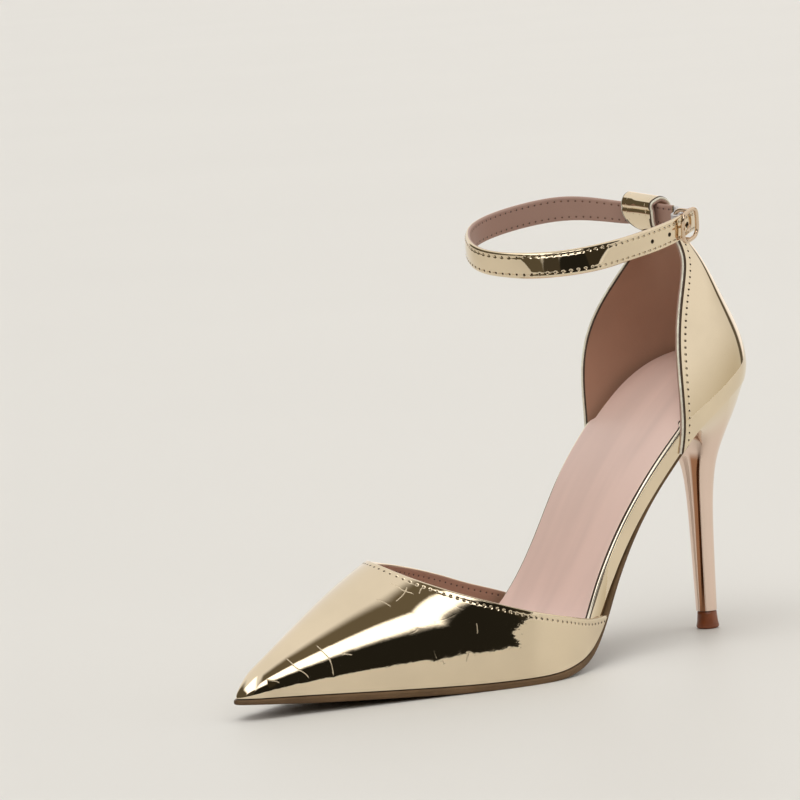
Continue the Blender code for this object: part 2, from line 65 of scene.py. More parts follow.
# Sole and sock
TOE_X = 216.6
TOE_ROUND = 9.0
SEAT_BACK = -17.4
SEAT_FRONT = 28.8
SEAT_SQUARENESS = 0.65
GAP = 0.3
EDGE_CLEARANCE = 0.08
BOARD_THICK_SEAT = 9.0
BOARD_THICK_WAIST = 5.4
BOARD_THICK_FOREFOOT = 2.2
BOARD_BACK = SEAT_BACK + 0.2
BOARD_TOE = TOE_X - 9.0
BOARD_BEVEL = 0.5
OUTSOLE_THICK_WAIST = 1.3
OUTSOLE_THICK_FOREFOOT = 2.4
OUTSOLE_TOE_THINNING = 0.7
OUTSOLE_OVERHANG = 0.7
OUTSOLE_WAIST_INSET = 0.8
OUTSOLE_BACK = 28.6
OUTSOLE_TOE = TOE_X - 0.005
OUTSOLE_GAP = 0.4
OUTSOLE_BEVEL = 0.7
SOCK_THICK = 1.0
SOCK_INSET = 1.3
SOCK_BEVEL = 0.45
SOCK_PUFF = 0.5
# Columns round the sock's edge that are painted in shade
SOCK_SHADE_COLUMNS = (slice(3, 12), slice(24, 33))
SOLE_STEPS = 260
BEAD_RUN = (20, 96)
BEAD_STEPS = 160
BEAD_LINE_RADIUS = 0.24

# Stretches along the shoe where one form passes into the next: start, end
SEAT_TO_WAIST = (6, 38)
WAIST_TO_FOREFOOT = (72, 100)
SEAT_LEAN = (18, 40)
BEND_END = (100, 130)
COUNTER_END = (28.2, 29.8)
VAMP_START = (44, 76)
TOE_END = (190, TOE_X)

# Vamp
VAMP_WALL = 1.6
VAMP_SECTION_POWER = 0.8
VAMP_STEPS = (250, 180)
VAMP_CROWDING = 1.3
VAMP_CORE_HEIGHT = 4
VAMP_INNER_TOE = TOE_X - 4.0
VAMP_CALM_TOE = TOE_X - 0.5
VAMP_SEAM_COLUMNS = slice(0, 60)
VAMP_LIP = 0.8
VAMP_LIP_FINISH = (0, 0, 0, 0, 1, 1)
# The vamp's lining is the counter's lining darkened by this factor: painted shade inside the vamp
VAMP_LINING_PAINTED_SHADE = 0.78
VAMP_LINING_SEAM = 1.3
CREASE_CHANNELS = 4
CREASE_RIM = 0.4
CREASE_RIM_PLACE = 1.9
CREASE_FADE = 0.25
CRACK_REACH = 2.5
CRACK_SHARPNESS = 22.0
CRACK_RELIEF = 0.3
CRACK_WEAR = (0.002, 0.026)
CRACK_ROUGHNESS = 0.55

# Low relief that fades out: start and end (in metres, the flare's in millimetres), height at each of them
SIDE_RIPPLE = (0.010, 0.036, 0.07, 0.0)
COUNTER_MOULDING = (0.066, 0.120, 4.3, 0.0)
VAMP_FLARE = (-12.0, 12.0, 1.9, 0.0)

# Counter and its tab
COUNTER_WALL = 1.5
COUNTER_STEPS = (232, 161)
COUNTER_SEAM = 2.2
COUNTER_SEAM_COLUMNS = 24
# Width and blur of the line of painted shade along the counter's front edge
COUNTER_EDGE_SHADE = 0.4
COUNTER_EDGE_SHADE_BLUR = 0.1
COUNTER_BACK_ROW = 8
COUNTER_LIP = 0.9
TAB_LIP = 0.8
PIPING_RADIUS = 0.42
PIPING_RISE = 0.5
PIPING_SHARE = 0.46
ROLL_SHARE = 0.98
TUNNEL_HALF_WIDTH = 7.3
TUNNEL_BOW = 1.2
TUNNEL_SKEW = 0.10
TUNNEL_TILT = 0.12
TAB_NARROWING = ((0.12, 2.0, 4.5), (0.43, 4.8, 8.0))
TAB_SHIFT = 1.6
TAB_CORNER = (0.9, 4.15, 0.5)
TAB_SEAM_HEIGHT = 153.4
TAB_PINCH = 0.55
TAB_PINCH_WIDTH = 0.5
TAB_FOLD_FRONT = 20
TAB_FOLD_LOW = 140
TAB_START = 150.0

# Numbers of the counter's finishes
COUNTER_GOLD, COUNTER_LINING, COUNTER_ROLL, COUNTER_EDGE_PAINTED_SHADE, COUNTER_PIPING = range(5)

# Heel, lift, strap, elastic and buckle
HEEL_STEPS = (180, 160)
HEEL_RISE = 0.25
HEEL_LIKE_CUP = (0.84, 1.0)
HEEL_STRIPE = math.radians(19)
HEEL_SHARP = 30
TIP_HEIGHT = 6.2
TIP_CORNER = 0.9
TIP_BASE_RADIUS = 4.1
TIP_SIDES = 72
STRAP_STEPS = 420
STRAP_THICK = 2.0
STRAP_CENTRE = np.array((18.0, 0.0, 153.3))
STRAP_FALL = np.array((0.15, 0.17))
STRAP_LEAN = math.radians(21)
STRAP_LEAN_START = (6.1, 7.4)
STRAP_LEAN_END = (9.5, 8.5)
STRAP_LEAN_FLATTENING = 0.7
STRAP_SEAM = 1.5
BAND_CORNER = 0.42
PUNCH_LENGTH = 6.0
ELASTIC_WIDTH = 7.6
ELASTIC_THICK = 0.9
ELASTIC_CROWN = 0.05
ELASTIC_LEAD = 1.5
ELASTIC_APPROACH = 3.0
ELASTIC_TAIL = 2.0
BUCKLE_LENGTH = 12.0
BUCKLE_HEIGHT = 12.0
BUCKLE_WIRE = 0.75
BUCKLE_SQUARENESS = 0.6
BUCKLE_STEPS = 96
BAR_WIRE = 0.7
BAR_CORNER = 0.4
PRONG_WIRE = 0.6
PRONG_TAPER = 0.45
PRONG_TAPER_START = 0.85
PRONG_HOLE = 1.1
BUCKLE_PLACE = 3.3
WIRE_STEPS = 60

# Stitch rows: spacing against the vamp's, depth of the thread, places, and relief over a distance
COUNTER_STITCHING = 1.05
STRAP_STITCHING = 1.08
STITCH_DEPTH = 0.1
STRAP_STITCH_DEPTH = 0.12
STRAP_STITCH_START = 0.9
STRAP_STITCH_MARGIN = 0.1
STRAP_STITCH_STEPS = 400
TAB_STITCH_ROW = 1.7
NEEDLE_GROOVE = (0.0, 0.7, -0.03, 0.0)
NEEDLE_DIMPLE = (0.0, 0.8, -0.10, 0.0)
NEEDLE_HOLE_GOLD = 0.5
NEEDLE_HOLE_LINING = 0.42
NEEDLE_HOLE_CORE = 0.55

# Middle line of the insole board's upper face: place along the shoe, height
BED_LINE = (
    (-17, 100.0), (-8, 98.4), (2, 95.0), (12, 89.8), (23, 82.0), (34, 72.4), (46, 60.3), (58, 45.0),
    (70, 28.2), (79, 17.0), (88, 9.6), (97, 6.2), (108, 4.9), (124, 4.8), (140, 5.2), (160, 6.3),
    (180, 7.6), (198, 8.8), (218, 10.0),
)

# Half widths of the lasted edge: place along the shoe, outer side, inner side
EDGE_LINE = (
    (-20, 25.2, 25.2), (10, 25.4, 25.4), (34, 24.7, 24.7), (46, 23.5, 23.5), (58, 22.6, 22.6),
    (70, 24.4, 23.8), (82, 29.6, 27.8), (94, 35.2, 32.6), (106, 38.0, 36.2), (118, 37.0, 37.2),
    (130, 33.6, 35.0), (145, 28.2, 30.2), (160, 22.8, 24.4), (175, 17.4, 18.4), (190, 12.0, 12.4),
    (203, 7.6, 7.6), (218, 3.6, 3.6),
)

# Ridge of the vamp, and behind its throat the instep that the sides point at: place, height
RIDGE_LINE = (
    (70, 70.0), (100, 62.0), (125, 54.6), (150, 46.0), (165, 39.8), (184, 30.2), (200, 21.4), (218, 11.0),
)

# Top edge of the vamp: degrees over the section from the outer feather to the inner one, place
VAMP_TOPLINE = (
    (0, 72.5), (3, 78.0), (7, 86.0), (12, 98.0), (18, 113.0), (26, 127.0), (36, 138.3), (47, 146.0),
    (58, 150.6), (75, 153.6), (90, 153.3), (105, 150.2), (122, 142.6), (134, 132.8), (144, 120.0),
    (154, 104.0), (162, 91.5), (169, 81.5), (180, 70.0),
)

# Counter rows from the seat up: rise at the back, share of seat's slope, back, front, inner and outer half
COUNTER_ROWS = (
    (0.0, 1.00, -17.5, 31.0, 25.2, 25.7),
    (5.6, 0.86, -18.3, 29.5, 26.2, 26.2),
    (13.6, 0.60, -16.7, 29.2, 26.8, 25.9),
    (21.6, 0.34, -13.2, 27.8, 25.4, 24.3),
    (29.6, 0.14, -8.7, 23.4, 22.0, 21.4),
    (37.6, 0.04, -4.2, 17.8, 18.1, 17.9),
    (44.6, 0.00, 0.4, 13.8, 14.4, 14.4),
    (50.6, 0.00, 4.6, 12.4, 10.4, 10.4),
    (55.0, 0.00, 8.0, 12.2, 7.6, 7.6),
)

# Fold of the counter's tab over the strap, side view: place, height
TUNNEL_FOLD = (
    (10.6, 149.6), (12.0, 153.4), (14.6, 156.8), (18.2, 158.4), (21.8, 156.4), (22.9, 152.4),
    (22.2, 148.6), (20.2, 146.0), (17.8, 144.8),
)

# Heel rows from the tip up: share of height and of seat's slope, back, widest, front, half width, squareness
HEEL_ROWS = (
    (0.000, 0.00, -3.6, 0.0, 3.6, 3.6, 2.6),
    (0.230, 0.00, -3.9, -0.1, 3.7, 3.8, 3.3),
    (0.430, 0.00, -4.4, -0.2, 3.8, 4.1, 4.0),
    (0.570, 0.06, -5.4, -0.4, 4.1, 4.8, 4.4),
    (0.670, 0.18, -6.8, -0.6, 4.7, 6.4, 4.6),
    (0.755, 0.40, -8.6, -0.4, 6.6, 9.8, 4.6),
    (0.840, 0.66, -11.2, 0.8, 11.4, 14.4, 4.6),
    (0.920, 0.88, -14.2, 3.0, 17.8, 19.4, 4.8),
    (1.000, 1.00, -17.4, 4.5, 24.4, 23.6, 5.0),
)

# Ankle strap from its tail to its short end: place and side in plan, drop below the strap's plane, width
STRAP_PATH = (
    (12.6, 12.4, 3.0, 4.0), (13.6, 18.0, 2.0, 8.6), (16.8, 22.8, 0.3, 8.4), (22.4, 26.0, -0.6, 8.4),
    (30.0, 28.0, -0.3, 8.8), (41.0, 29.0, 0.0, 9.0), (53.0, 29.0, 0.0, 9.0), (66.0, 27.6, 0.0, 9.0),
    (79.0, 22.6, 0.0, 9.0), (89.5, 13.0, 0.0, 9.0), (94.2, 0.0, 0.0, 9.0), (90.0, -13.2, 0.0, 9.0),
    (79.0, -24.8, 0.0, 9.0), (65.0, -29.4, 0.0, 9.0), (50.0, -28.8, 0.0, 9.0), (37.0, -24.0, 0.0, 9.0),
    (27.6, -16.0, 1.0, 8.6), (20.0, -7.6, 2.6, 8.2), (18.0, 0.0, 1.6, 8.2), (17.6, 7.4, 1.1, 8.2),
    (17.0, 13.6, 0.8, 8.4),
)

# Colour changes on the heel's map, which is 100 at the seat and at the middle of the breast: start, end
HEEL_TOP_FADE = (60.0, 97.0)
STRIPE_TOP = (60.0, 52.0)
STRIPE_SIDE = (94.8, 96.0)
STRIPE_RIM = ((89.0, 91.0), (95.0, 94.0))

# Side of the lift over its rounded base: radius, height
TIP_SIDE = ((3.75, 2.6), (3.55, 5.0), (3.5, 5.95), (3.25, TIP_HEIGHT))

# Places of the strap's spare holes, counted along the rows of its path
STRAP_HOLES = (4.45, 5.2)
STRAP_HOLE_RADIUS = 0.8

# Creases: depth and half width of the trough, depth of the crack, places with degrees
VAMP_CREASES = (
    (0.010, 1.4, 0.034, ((208, 38), (206.5, 28), (204.5, 21), (203.5, 15))),
    (0.012, 1.7, 0.038, ((199.5, 57), (198.5, 44), (197.5, 32), (196, 24), (194.5, 18), (193.5, 10))),
    (0.012, 1.7, 0.038, ((189, 49), (188, 40), (187, 32), (186, 26), (185.5, 16), (185.5, 8))),
    (0.010, 1.4, 0.018, ((181.5, 26), (180, 24), (177.5, 21))),
    (0.012, 1.4, 0.030, ((164.5, 55), (163, 51), (161.5, 46), (160.5, 42))),
    (0.014, 1.7, 0.032, ((157.5, 63), (156.5, 59), (155.5, 55), (154.5, 50), (152.5, 46), (151.5, 43))),
    (0.010, 1.4, 0.030, ((152.5, 53), (153.5, 50), (156, 47), (159.5, 45))),
    (0.014, 1.4, 0.026, ((148, 47), (149, 46), (150.5, 43))),
    (0.016, 2.2, 0.006, ((139.5, 27), (142.5, 26), (145, 25.5), (149.5, 26))),
    (0.014, 2.0, 0.008, ((154.5, 26), (155.5, 24), (158.5, 23.5))),
    (0.014, 2.0, 0.022, ((135, 21), (135, 19), (135.5, 15))),
    (0.012, 1.7, 0.028, ((139, 10), (140, 8), (140.5, 6))),
    (0.010, 1.4, 0.024, ((148.5, 8.5), (148, 6.5))),
    (0.016, 2.5, 0.010, ((151, 14), (150.5, 10), (150, 8))),
    (0.020, 2.2, 0.006, ((142, 34), (140.5, 31), (139.5, 29), (137.5, 27.5))),
    (0.010, 2.5, 0.010, ((111, 6), (107.5, 7.5), (103.5, 9))),
    (0.010, 2.5, 0.008, ((108.5, 13), (105, 12), (100, 9.5), (91, 7))),
    (0.010, 2.2, 0.014, ((165, 84), (163, 84), (161, 82))),
)

# Camera: place in millimetres, direction it stands in, degrees of roll, lens and sensor in millimetres
CAMERA_PLACE = (1338.22, 1432.89, 298.52)
CAMERA_AZIMUTH = 50.03
CAMERA_ELEVATION = 6.094
CAMERA_ROLL = -3.8
CAMERA_LENS = 247.5
CAMERA_SENSOR = 36.0

# Studio: azimuth from the toe, elevation, half width and half height in degrees, softness, squareness, light
STUDIO_PATCHES = (
    ("dim horizon behind", 168, 0, 40, 10, 0.9, 2.0, (0.60, 0.55, 0.45)),
    ("softbox", 8, 0, 60, 69, 0.05, 2.0, (2.2, 2.18, 2.12)),
    ("dark room in front", -22, 0, 73, 55, 0.05, 2.2, (0.11, 0.092, 0.060)),
    ("olive gap", 86, 45.5, 20, 17, 0.50, 4.0, (0.145, 0.12, 0.079)),
    ("strip light", 84, 28, 17, 8, 0.28, 4.0, (2.2, 2.18, 2.12)),
    ("dark room at the side", 83, 2, 21, 18, 0.16, 4.0, (0.017, 0.0155, 0.0115)),
    ("join of the dark rooms", 57, 4, 9, 19, 0.12, 4.0, (0.06, 0.05, 0.034)),
    ("wing of the dark room", 103.4, 26, 12, 25, 0.06, 2.0, (0.040, 0.033, 0.021)),
    ("dark strip behind", -171, 5, 5.5, 17, 0.25, 3.0, (0.12, 0.10, 0.07)),
    ("bright rim behind", -146, 0, 19, 30, 0.25, 3.0, (1.12, 1.07, 1.03)),
)
STUDIO_WALL = (0.90, 0.885, 0.86)
FLOOR_HALF = 15.0
KEY_PLACE = (0.9, 0.2, 1.9)
KEY_SPREAD = math.radians(50)

# What all colour settings have in common
RGB = {"size": 3, "min": 0.0, "max": 1.0}


class PumpSizes(bpy.types.PropertyGroup):
    """Sizes of the trim and the relief that a user would change."""

    stitch_spacing: FloatProperty(
        name="Stitch spacing", description="Distance from one needle hole to the next", default=0.0024,
        min=0.001, max=0.006, precision=5, unit="LENGTH")
    stitch_length: FloatProperty(
        name="Stitch length", description="Length of the thread that shows between two holes", default=0.0014,
        min=0.0005, max=0.005, precision=5, unit="LENGTH")
    thread_width: FloatProperty(
        name="Thread width", description="Thickness of the sewing thread", default=0.00030,
        min=0.0001, max=0.001, precision=5, unit="LENGTH")
    seam_inset: FloatProperty(
        name="Seam inset", description="Distance of a stitch row from the folded edge", default=0.0017,
        min=0.0008, max=0.005, precision=5, unit="LENGTH")
    bead_radius: FloatProperty(
        name="Edge bead radius", description="Radius of the bead between the sock and the wrapped edge",
        default=0.00055, min=0.0002, max=0.0015, precision=5, unit="LENGTH")
    crease_depth: FloatProperty(
        name="Crease depth", description="Strength of the vamp's creases, 1 as worn in the photo",
        default=1.0, min=0.0, max=3.0, subtype="FACTOR")
    strap_crown: FloatProperty(
        name="Strap crown", description="Height of the strap's middle over its edges", default=0.00035,
        min=0.0, max=0.001, precision=5, unit="LENGTH")


class PumpColours(bpy.types.PropertyGroup):
    """Colours of the finishes."""

    gold: FloatVectorProperty(
        name="Mirror gold", description="Foil of vamp, counter, strap and wrapped edge",
        default=(0.815, 0.683, 0.495), subtype="COLOR", **RGB)
    sock: FloatVectorProperty(
        name="Insole sock", description="Lining that the foot stands on",
        default=(0.86, 0.63, 0.555), subtype="COLOR", **RGB)
    lining: FloatVectorProperty(
        name="Lining", description="Inner side of the strap and roll of the counter's edge",
        default=(0.43, 0.268, 0.213), subtype="COLOR", **RGB)
    counter_lining: FloatVectorProperty(
        name="Counter lining", description="Inner side of counter and vamp",
        default=(0.50, 0.283, 0.195), subtype="COLOR", **RGB)
    plating: FloatVectorProperty(
        name="Rose gold plating", description="Heel",
        default=(0.83, 0.65, 0.545), subtype="COLOR", **RGB)
    buckle: FloatVectorProperty(
        name="Buckle plating", description="Buckle frame and prong",
        default=(0.71, 0.55, 0.40), subtype="COLOR", **RGB)
    outsole: FloatVectorProperty(
        name="Outsole", description="Sheet under the shoe and its edge",
        default=(0.150, 0.090, 0.045), subtype="COLOR", **RGB)
    lift: FloatVectorProperty(
        name="Heel lift", description="Tip that stands on the floor",
        default=(0.235, 0.060, 0.015), subtype="COLOR", **RGB)
    elastic: FloatVectorProperty(
        name="Elastic", description="Woven elastic behind the buckle",
        default=(0.82, 0.80, 0.79), subtype="COLOR", **RGB)
    breast: FloatVectorProperty(
        name="Heel breast", description="Copper brown front of the heel's stem",
        default=(0.40, 0.19, 0.10), subtype="COLOR", **RGB)
    # Lighter than the gold foil: a painted highlight on the bead and the counter's piping
    bead: FloatVectorProperty(
        name="Bead", description="Bead along the sock and piping of the counter",
        default=(0.93, 0.85, 0.70), subtype="COLOR", **RGB)
    thread: FloatVectorProperty(
        name="Thread", description="Sewing thread",
        default=(0.72, 0.58, 0.38), subtype="COLOR", **RGB)
    # Near black painted shade: needle holes, punched holes, the counter's edge, beside the bead and at the
    # sock's edge
    painted_shade: FloatVectorProperty(
        name="Needle hole", description="Shade inside holes and cut edges",
        default=(0.06, 0.035, 0.018), subtype="COLOR", **RGB)


class PumpStudio(bpy.types.PropertyGroup):
    """Light and floor of the studio."""

    room_light: FloatProperty(
        name="Room light", description="Strength of the light from all round", default=1.0, min=0.0, max=5.0)
    key_light: FloatProperty(
        name="Key light", description="Strength of the soft light over the toe",
        default=0.75, min=0.0, max=20.0)
    floor: FloatVectorProperty(
        name="Floor", description="Pale floor",
        default=(0.765, 0.748, 0.708), subtype="COLOR", **RGB)


def spline(rows, column):
    """Return a natural cubic spline of one column of a table over its first column."""
    knots = np.array([row[0] for row in rows], float)
    values = np.array([row[column] for row in rows], float)
    steps = np.diff(knots)
    system = np.eye(len(knots))
    right = np.zeros(len(knots))
    for i in range(1, len(knots) - 1):
        system[i, i - 1:i + 2] = steps[i - 1], 2 * (steps[i - 1] + steps[i]), steps[i]
        right[i] = 6 * ((values[i + 1] - values[i]) / steps[i] - (values[i] - values[i - 1]) / steps[i - 1])
    bend = np.linalg.solve(system, right)

    def value(at):
        at = np.asarray(at, float)
        i = np.clip(np.searchsorted(knots, at) - 1, 0, len(steps) - 1)
        step, left, past = steps[i], knots[i + 1] - at, at - knots[i]
        cubic = (bend[i] * left**3 + bend[i + 1] * past**3) / (6 * step)
        linear = (values[i] / step - bend[i] * step / 6) * left
        return cubic + linear + (values[i + 1] / step - bend[i + 1] * step / 6) * past

    return value


def counted(rows):
    """Put each row's number in front of it, so that a spline can run along the rows."""
    return [(i,) + tuple(row) for i, row in enumerate(rows)]


def run_length(points):
    """Return the length along a line of points up to each of them."""
    return np.concatenate([[0.0], np.cumsum(np.linalg.norm(np.diff(points, axis=0), axis=1))])


def through(points, count):
    """Return a smooth line through points, at even steps of its length."""
    points = np.asarray(points, float)
    knots = run_length(points)
    rows = np.column_stack([knots, points])
    at = np.linspace(0, knots[-1], count)
    return np.stack([spline(rows, column)(at) for column in range(1, rows.shape[1])], axis=-1)


def smoothstep(low, high, x):
    """Return a smooth change from 0 at low and before it to 1 at high and past it."""
    t = np.clip((np.asarray(x, float) - low) / (high - low), 0.0, 1.0)
    return t * t * (3 - 2 * t)


def unit(vectors):
    """Return vectors of length one."""
    return vectors / np.maximum(np.linalg.norm(vectors, axis=-1, keepdims=True), 1e-12)


bed_height = spline(BED_LINE, 1)
outer_edge = spline(EDGE_LINE, 1)
inner_edge = spline(EDGE_LINE, 2)
ridge_height = spline(RIDGE_LINE, 1)
topline_place = spline(VAMP_TOPLINE, 1)


def toe_rounding(x):
    """Return the share of the width and height that is left in the round end of the toe."""
    past_round = np.clip((np.asarray(x, float) - TOE_X + TOE_ROUND) / TOE_ROUND, 0.0, 1.0)
    return np.sqrt(1 - past_round**2)


def half_width(x, side):
    """Return the lasted edge's distance from the middle line, rounded off at seat and toe."""
    from_front = np.clip((SEAT_FRONT - x) / (SEAT_FRONT - SEAT_BACK), 0.0, 1.0)
    seat = np.sqrt(1 - from_front ** (2 / SEAT_SQUARENESS))
    return np.where(np.asarray(side) > 0, outer_edge(x), inner_edge(x)) * seat * toe_rounding(x)


def edge_point(x, side, inset):
    """Return the lasted edge's point in plan, moved inwards square to the edge."""
    step = 0.02
    slope = (half_width(x + step, side) - half_width(x - step, side)) / (2 * step)
    norm = np.hypot(1, slope)
    return x + inset * slope / norm, side * (half_width(x, side) - inset / norm)


def below_bed(x, depth):
    """Return place and height of a point under the bed line: straight down at the seat, else square to it."""
    slope = bed_height(x + 0.5) - bed_height(x - 0.5)
    norm = np.hypot(1, slope)
    lean = smoothstep(*SEAT_LEAN, x)
    return x + lean * depth * slope / norm, bed_height(x) - depth * (1 + lean * (1 / norm - 1))


def forefoot_share(x):
    """Return how far the sole has changed from its waist to its thinner forefoot."""
    return smoothstep(*WAIST_TO_FOREFOOT, x)


def board_thick(x):
    """Return the insole board's thickness, greatest at the seat."""
    seat = (BOARD_THICK_SEAT - BOARD_THICK_WAIST) * (1 - smoothstep(*SEAT_TO_WAIST, x))
    return BOARD_THICK_WAIST + seat + (BOARD_THICK_FOREFOOT - BOARD_THICK_WAIST) * forefoot_share(x)


def outsole_thick(x):
    """Return the outsole's thickness."""
    forefoot = (OUTSOLE_THICK_FOREFOOT - OUTSOLE_THICK_WAIST) * forefoot_share(x)
    return OUTSOLE_THICK_WAIST + forefoot - OUTSOLE_TOE_THINNING * smoothstep(*TOE_END, x)


# Lower edge of the insole board: place on the bed line over it, then its place and height
FEATHER_OVER = np.linspace(-26, 226, 1009)
FEATHER_PLACE, FEATHER_HEIGHT = below_bed(FEATHER_OVER, board_thick(FEATHER_OVER))


def feather_height(x):
    """Return the height of the insole board's lower face, where the upper ends."""
    return np.interp(x, FEATHER_PLACE, FEATHER_HEIGHT)


def feather_width(x, side):
    """Return the half width of the upper at its lower edge, which follows the board round its bend."""
    above = np.interp(x, FEATHER_PLACE, FEATHER_OVER)
    return half_width(x + (above - x) * (1 - smoothstep(*BEND_END, x)), side)


def covered_inset(x):
    """Return how far the insole board's edge stays inside the upper's outer face."""
    under_counter = (COUNTER_WALL + 2 * GAP) * (1 - smoothstep(*COUNTER_END, x))
    return EDGE_CLEARANCE + under_counter + (VAMP_WALL + 2 * GAP) * smoothstep(*VAMP_START, x)


def vamp_point(x, degrees, wall=0.0):
    """Return the vamp's face at a place and an angle over its section, a wall inside its outer face."""
    x, angle = np.broadcast_arrays(np.asarray(x, float), np.radians(degrees))
    side = np.where(angle <= math.pi / 2, 1, -1)
    low = feather_height(x)
    rise = np.maximum((ridge_height(x) - low) * toe_rounding(x) - wall, 0.0)
    across = np.maximum(feather_width(x, side) - wall, 0.0) * np.cos(angle)
    height = low + rise * np.clip(np.sin(angle), 0.0, 1.0) ** VAMP_SECTION_POWER
    return np.stack([x, across, height], axis=-1)


def vamp_grid(rows, columns, wall=0.0, tip=TOE_X):
    """Return the vamp's face as a grid: even steps along its top edge, then from there to the tip."""
    degrees = np.linspace(0, 180, 1801)
    length = run_length(vamp_point(topline_place(degrees), degrees))
    at = np.interp(np.linspace(0, length[-1], rows), length, degrees)[:, None]
    toward_tip = (1 - np.linspace(0, 1, columns)[None, :]) ** VAMP_CROWDING
    top = topline_place(at)
    return vamp_point(tip - (tip - top) * toward_tip, at, wall)


def cup_row(at, columns):
    """Return one row of the counter's outer face, at even steps round the heel of the foot."""
    table = counted(COUNTER_ROWS)
    rise, follow, back, front, inner, outer = (spline(table, column)(at) for column in range(1, 7))
    angle = np.linspace(-math.pi / 2, math.pi / 2, 4001)
    x = front - (front - back) * np.clip(np.cos(angle), 0.0, 1.0) ** SEAT_SQUARENESS
    slope = feather_height(x) - feather_height(back)
    height = feather_height(SEAT_BACK) + rise + follow * slope
    row = np.stack([x, np.where(angle > 0, outer, inner) * np.sin(angle), height], axis=-1)
    length = run_length(row)
    even = np.linspace(0, length[-1], columns)
    return np.stack([np.interp(even, length, row[:, axis]) for axis in range(3)], axis=-1)


def tunnel_row(at, columns):
    """Return one row of the tab's outer face, folded forwards over the strap and down inside it."""
    table = counted(TUNNEL_FOLD)
    place, height = spline(table, 1)(at), spline(table, 2)(at)
    bow = TUNNEL_BOW * (1 - smoothstep(0, 2, at))
    narrow = 1 - sum(loss * smoothstep(first, last, at) for loss, first, last in TAB_NARROWING)
    turn_in = smoothstep(-1, 3, at)
    share = np.linspace(-1, 1, columns)
    y = TUNNEL_HALF_WIDTH * narrow * share + TAB_SHIFT * smoothstep(4.0, 8.0, at)
    size, row, spread = TAB_CORNER
    corner = size * np.exp(-(((at - row) / spread) ** 2)) * smoothstep(-0.5, 0.1, share)
    x = place + bow * share**2 + corner - TUNNEL_SKEW * turn_in * y
    return np.stack([x, y, height - TUNNEL_TILT * turn_in * y], axis=-1)


def counter_grid(rows, columns):
    """Return the counter's outer face from the seat up to the tab's end, smooth along every column."""
    coarse = [cup_row(at, columns) for at in np.arange(0, len(COUNTER_ROWS) - 0.5, 0.5)]
    coarse += [tunnel_row(at, columns) for at in np.arange(0, len(TUNNEL_FOLD) - 0.5, 0.5)]
    coarse = np.stack(coarse)
    gaps = np.linalg.norm(np.diff(coarse, axis=0), axis=2).mean(axis=1)
    knots = np.concatenate([[0.0], np.cumsum(gaps)])
    flat = np.column_stack([knots, coarse.reshape(len(coarse), -1)])
    at = np.linspace(0, knots[-1], rows)
    dense = np.stack([spline(flat, column)(at) for column in range(1, flat.shape[1])], axis=-1)
    return dense.reshape(rows, columns, 3)


def heel_rings(steps, sides):
    """Return the heel's rings from its tip to the seat."""
    table = counted(HEEL_ROWS)
    at = np.linspace(0, len(table) - 1, steps)[:, None]
    share, follow, back, widest, front, half, square = (spline(table, column)(at) for column in range(1, 8))
    bottom, top = TIP_HEIGHT + GAP, feather_height(0.0) + HEEL_RISE
    angle = np.linspace(0, 2 * math.pi, sides, endpoint=False)[None, :]
    turn, lift = np.cos(angle), np.sin(angle)
    power = np.where(turn > 0, 2 / square, 1.0)
    y = np.sign(lift) * np.abs(lift) ** power
    seat, cup_back, cup_front, cup_inner, cup_outer = HEEL_ROWS[-1][3], *COUNTER_ROWS[0][2:]
    like_cup = smoothstep(*HEEL_LIKE_CUP, share)
    within = np.sqrt(1 - (y * HEEL_ROWS[-1][5] / cup_outer) ** 2)
    cup = (cup_front - seat - (cup_front - cup_back) * within**SEAT_SQUARENESS) / (cup_back - seat)
    behind = np.abs(turn) + like_cup * (cup - np.abs(turn))
    x = widest + np.where(turn > 0, np.abs(turn) ** power * (front - widest), -behind * (widest - back))
    y *= half * np.where(y < 0, 1 - like_cup * (1 - cup_inner / cup_outer), 1.0)
    slope = feather_height(x) - feather_height(0.0)
    return np.stack([x, y, bottom + (top - bottom) * share + follow * slope], axis=-1)


STRAP_UP = unit(np.array((*STRAP_FALL, 1.0)))
STRAP_TABLE = counted(STRAP_PATH)
STRAP_LAST = len(STRAP_PATH) - 1
strap_width = spline(STRAP_TABLE, 4)


def strap_point(at):
    """Return the strap's middle line at places counted along the rows of its path."""
    x, y, drop = (spline(STRAP_TABLE, column)(at) for column in (1, 2, 3))
    fall = STRAP_FALL[0] * (x - STRAP_CENTRE[0]) + STRAP_FALL[1] * (y - STRAP_CENTRE[1])
    return np.stack([x, y, STRAP_CENTRE[2] - fall], axis=-1) - STRAP_UP * np.asarray(drop)[..., None]


def strap_frame(at):
    """Return the strap's middle points, their directions and their outward directions."""
    at = np.asarray(at, float)
    along = unit(strap_point(at + 0.02) - strap_point(at - 0.02))
    return strap_point(at), along, unit(np.cross(STRAP_UP, along))


def strap_turn(at):
    """Return how far the strap leans back at its outer front, as a share of its lean."""
    return smoothstep(*STRAP_LEAN_START, at) * smoothstep(*STRAP_LEAN_END, at)


def strap_section(at):
    """Return the strap's middle points with the upward and outward directions of its leaning section."""
    points, _, outwards = strap_frame(at)
    lean = (STRAP_LEAN * strap_turn(at))[:, None]
    up = STRAP_UP * np.cos(lean) - outwards * np.sin(lean)
    return points, up, outwards * np.cos(lean) + STRAP_UP * np.sin(lean)


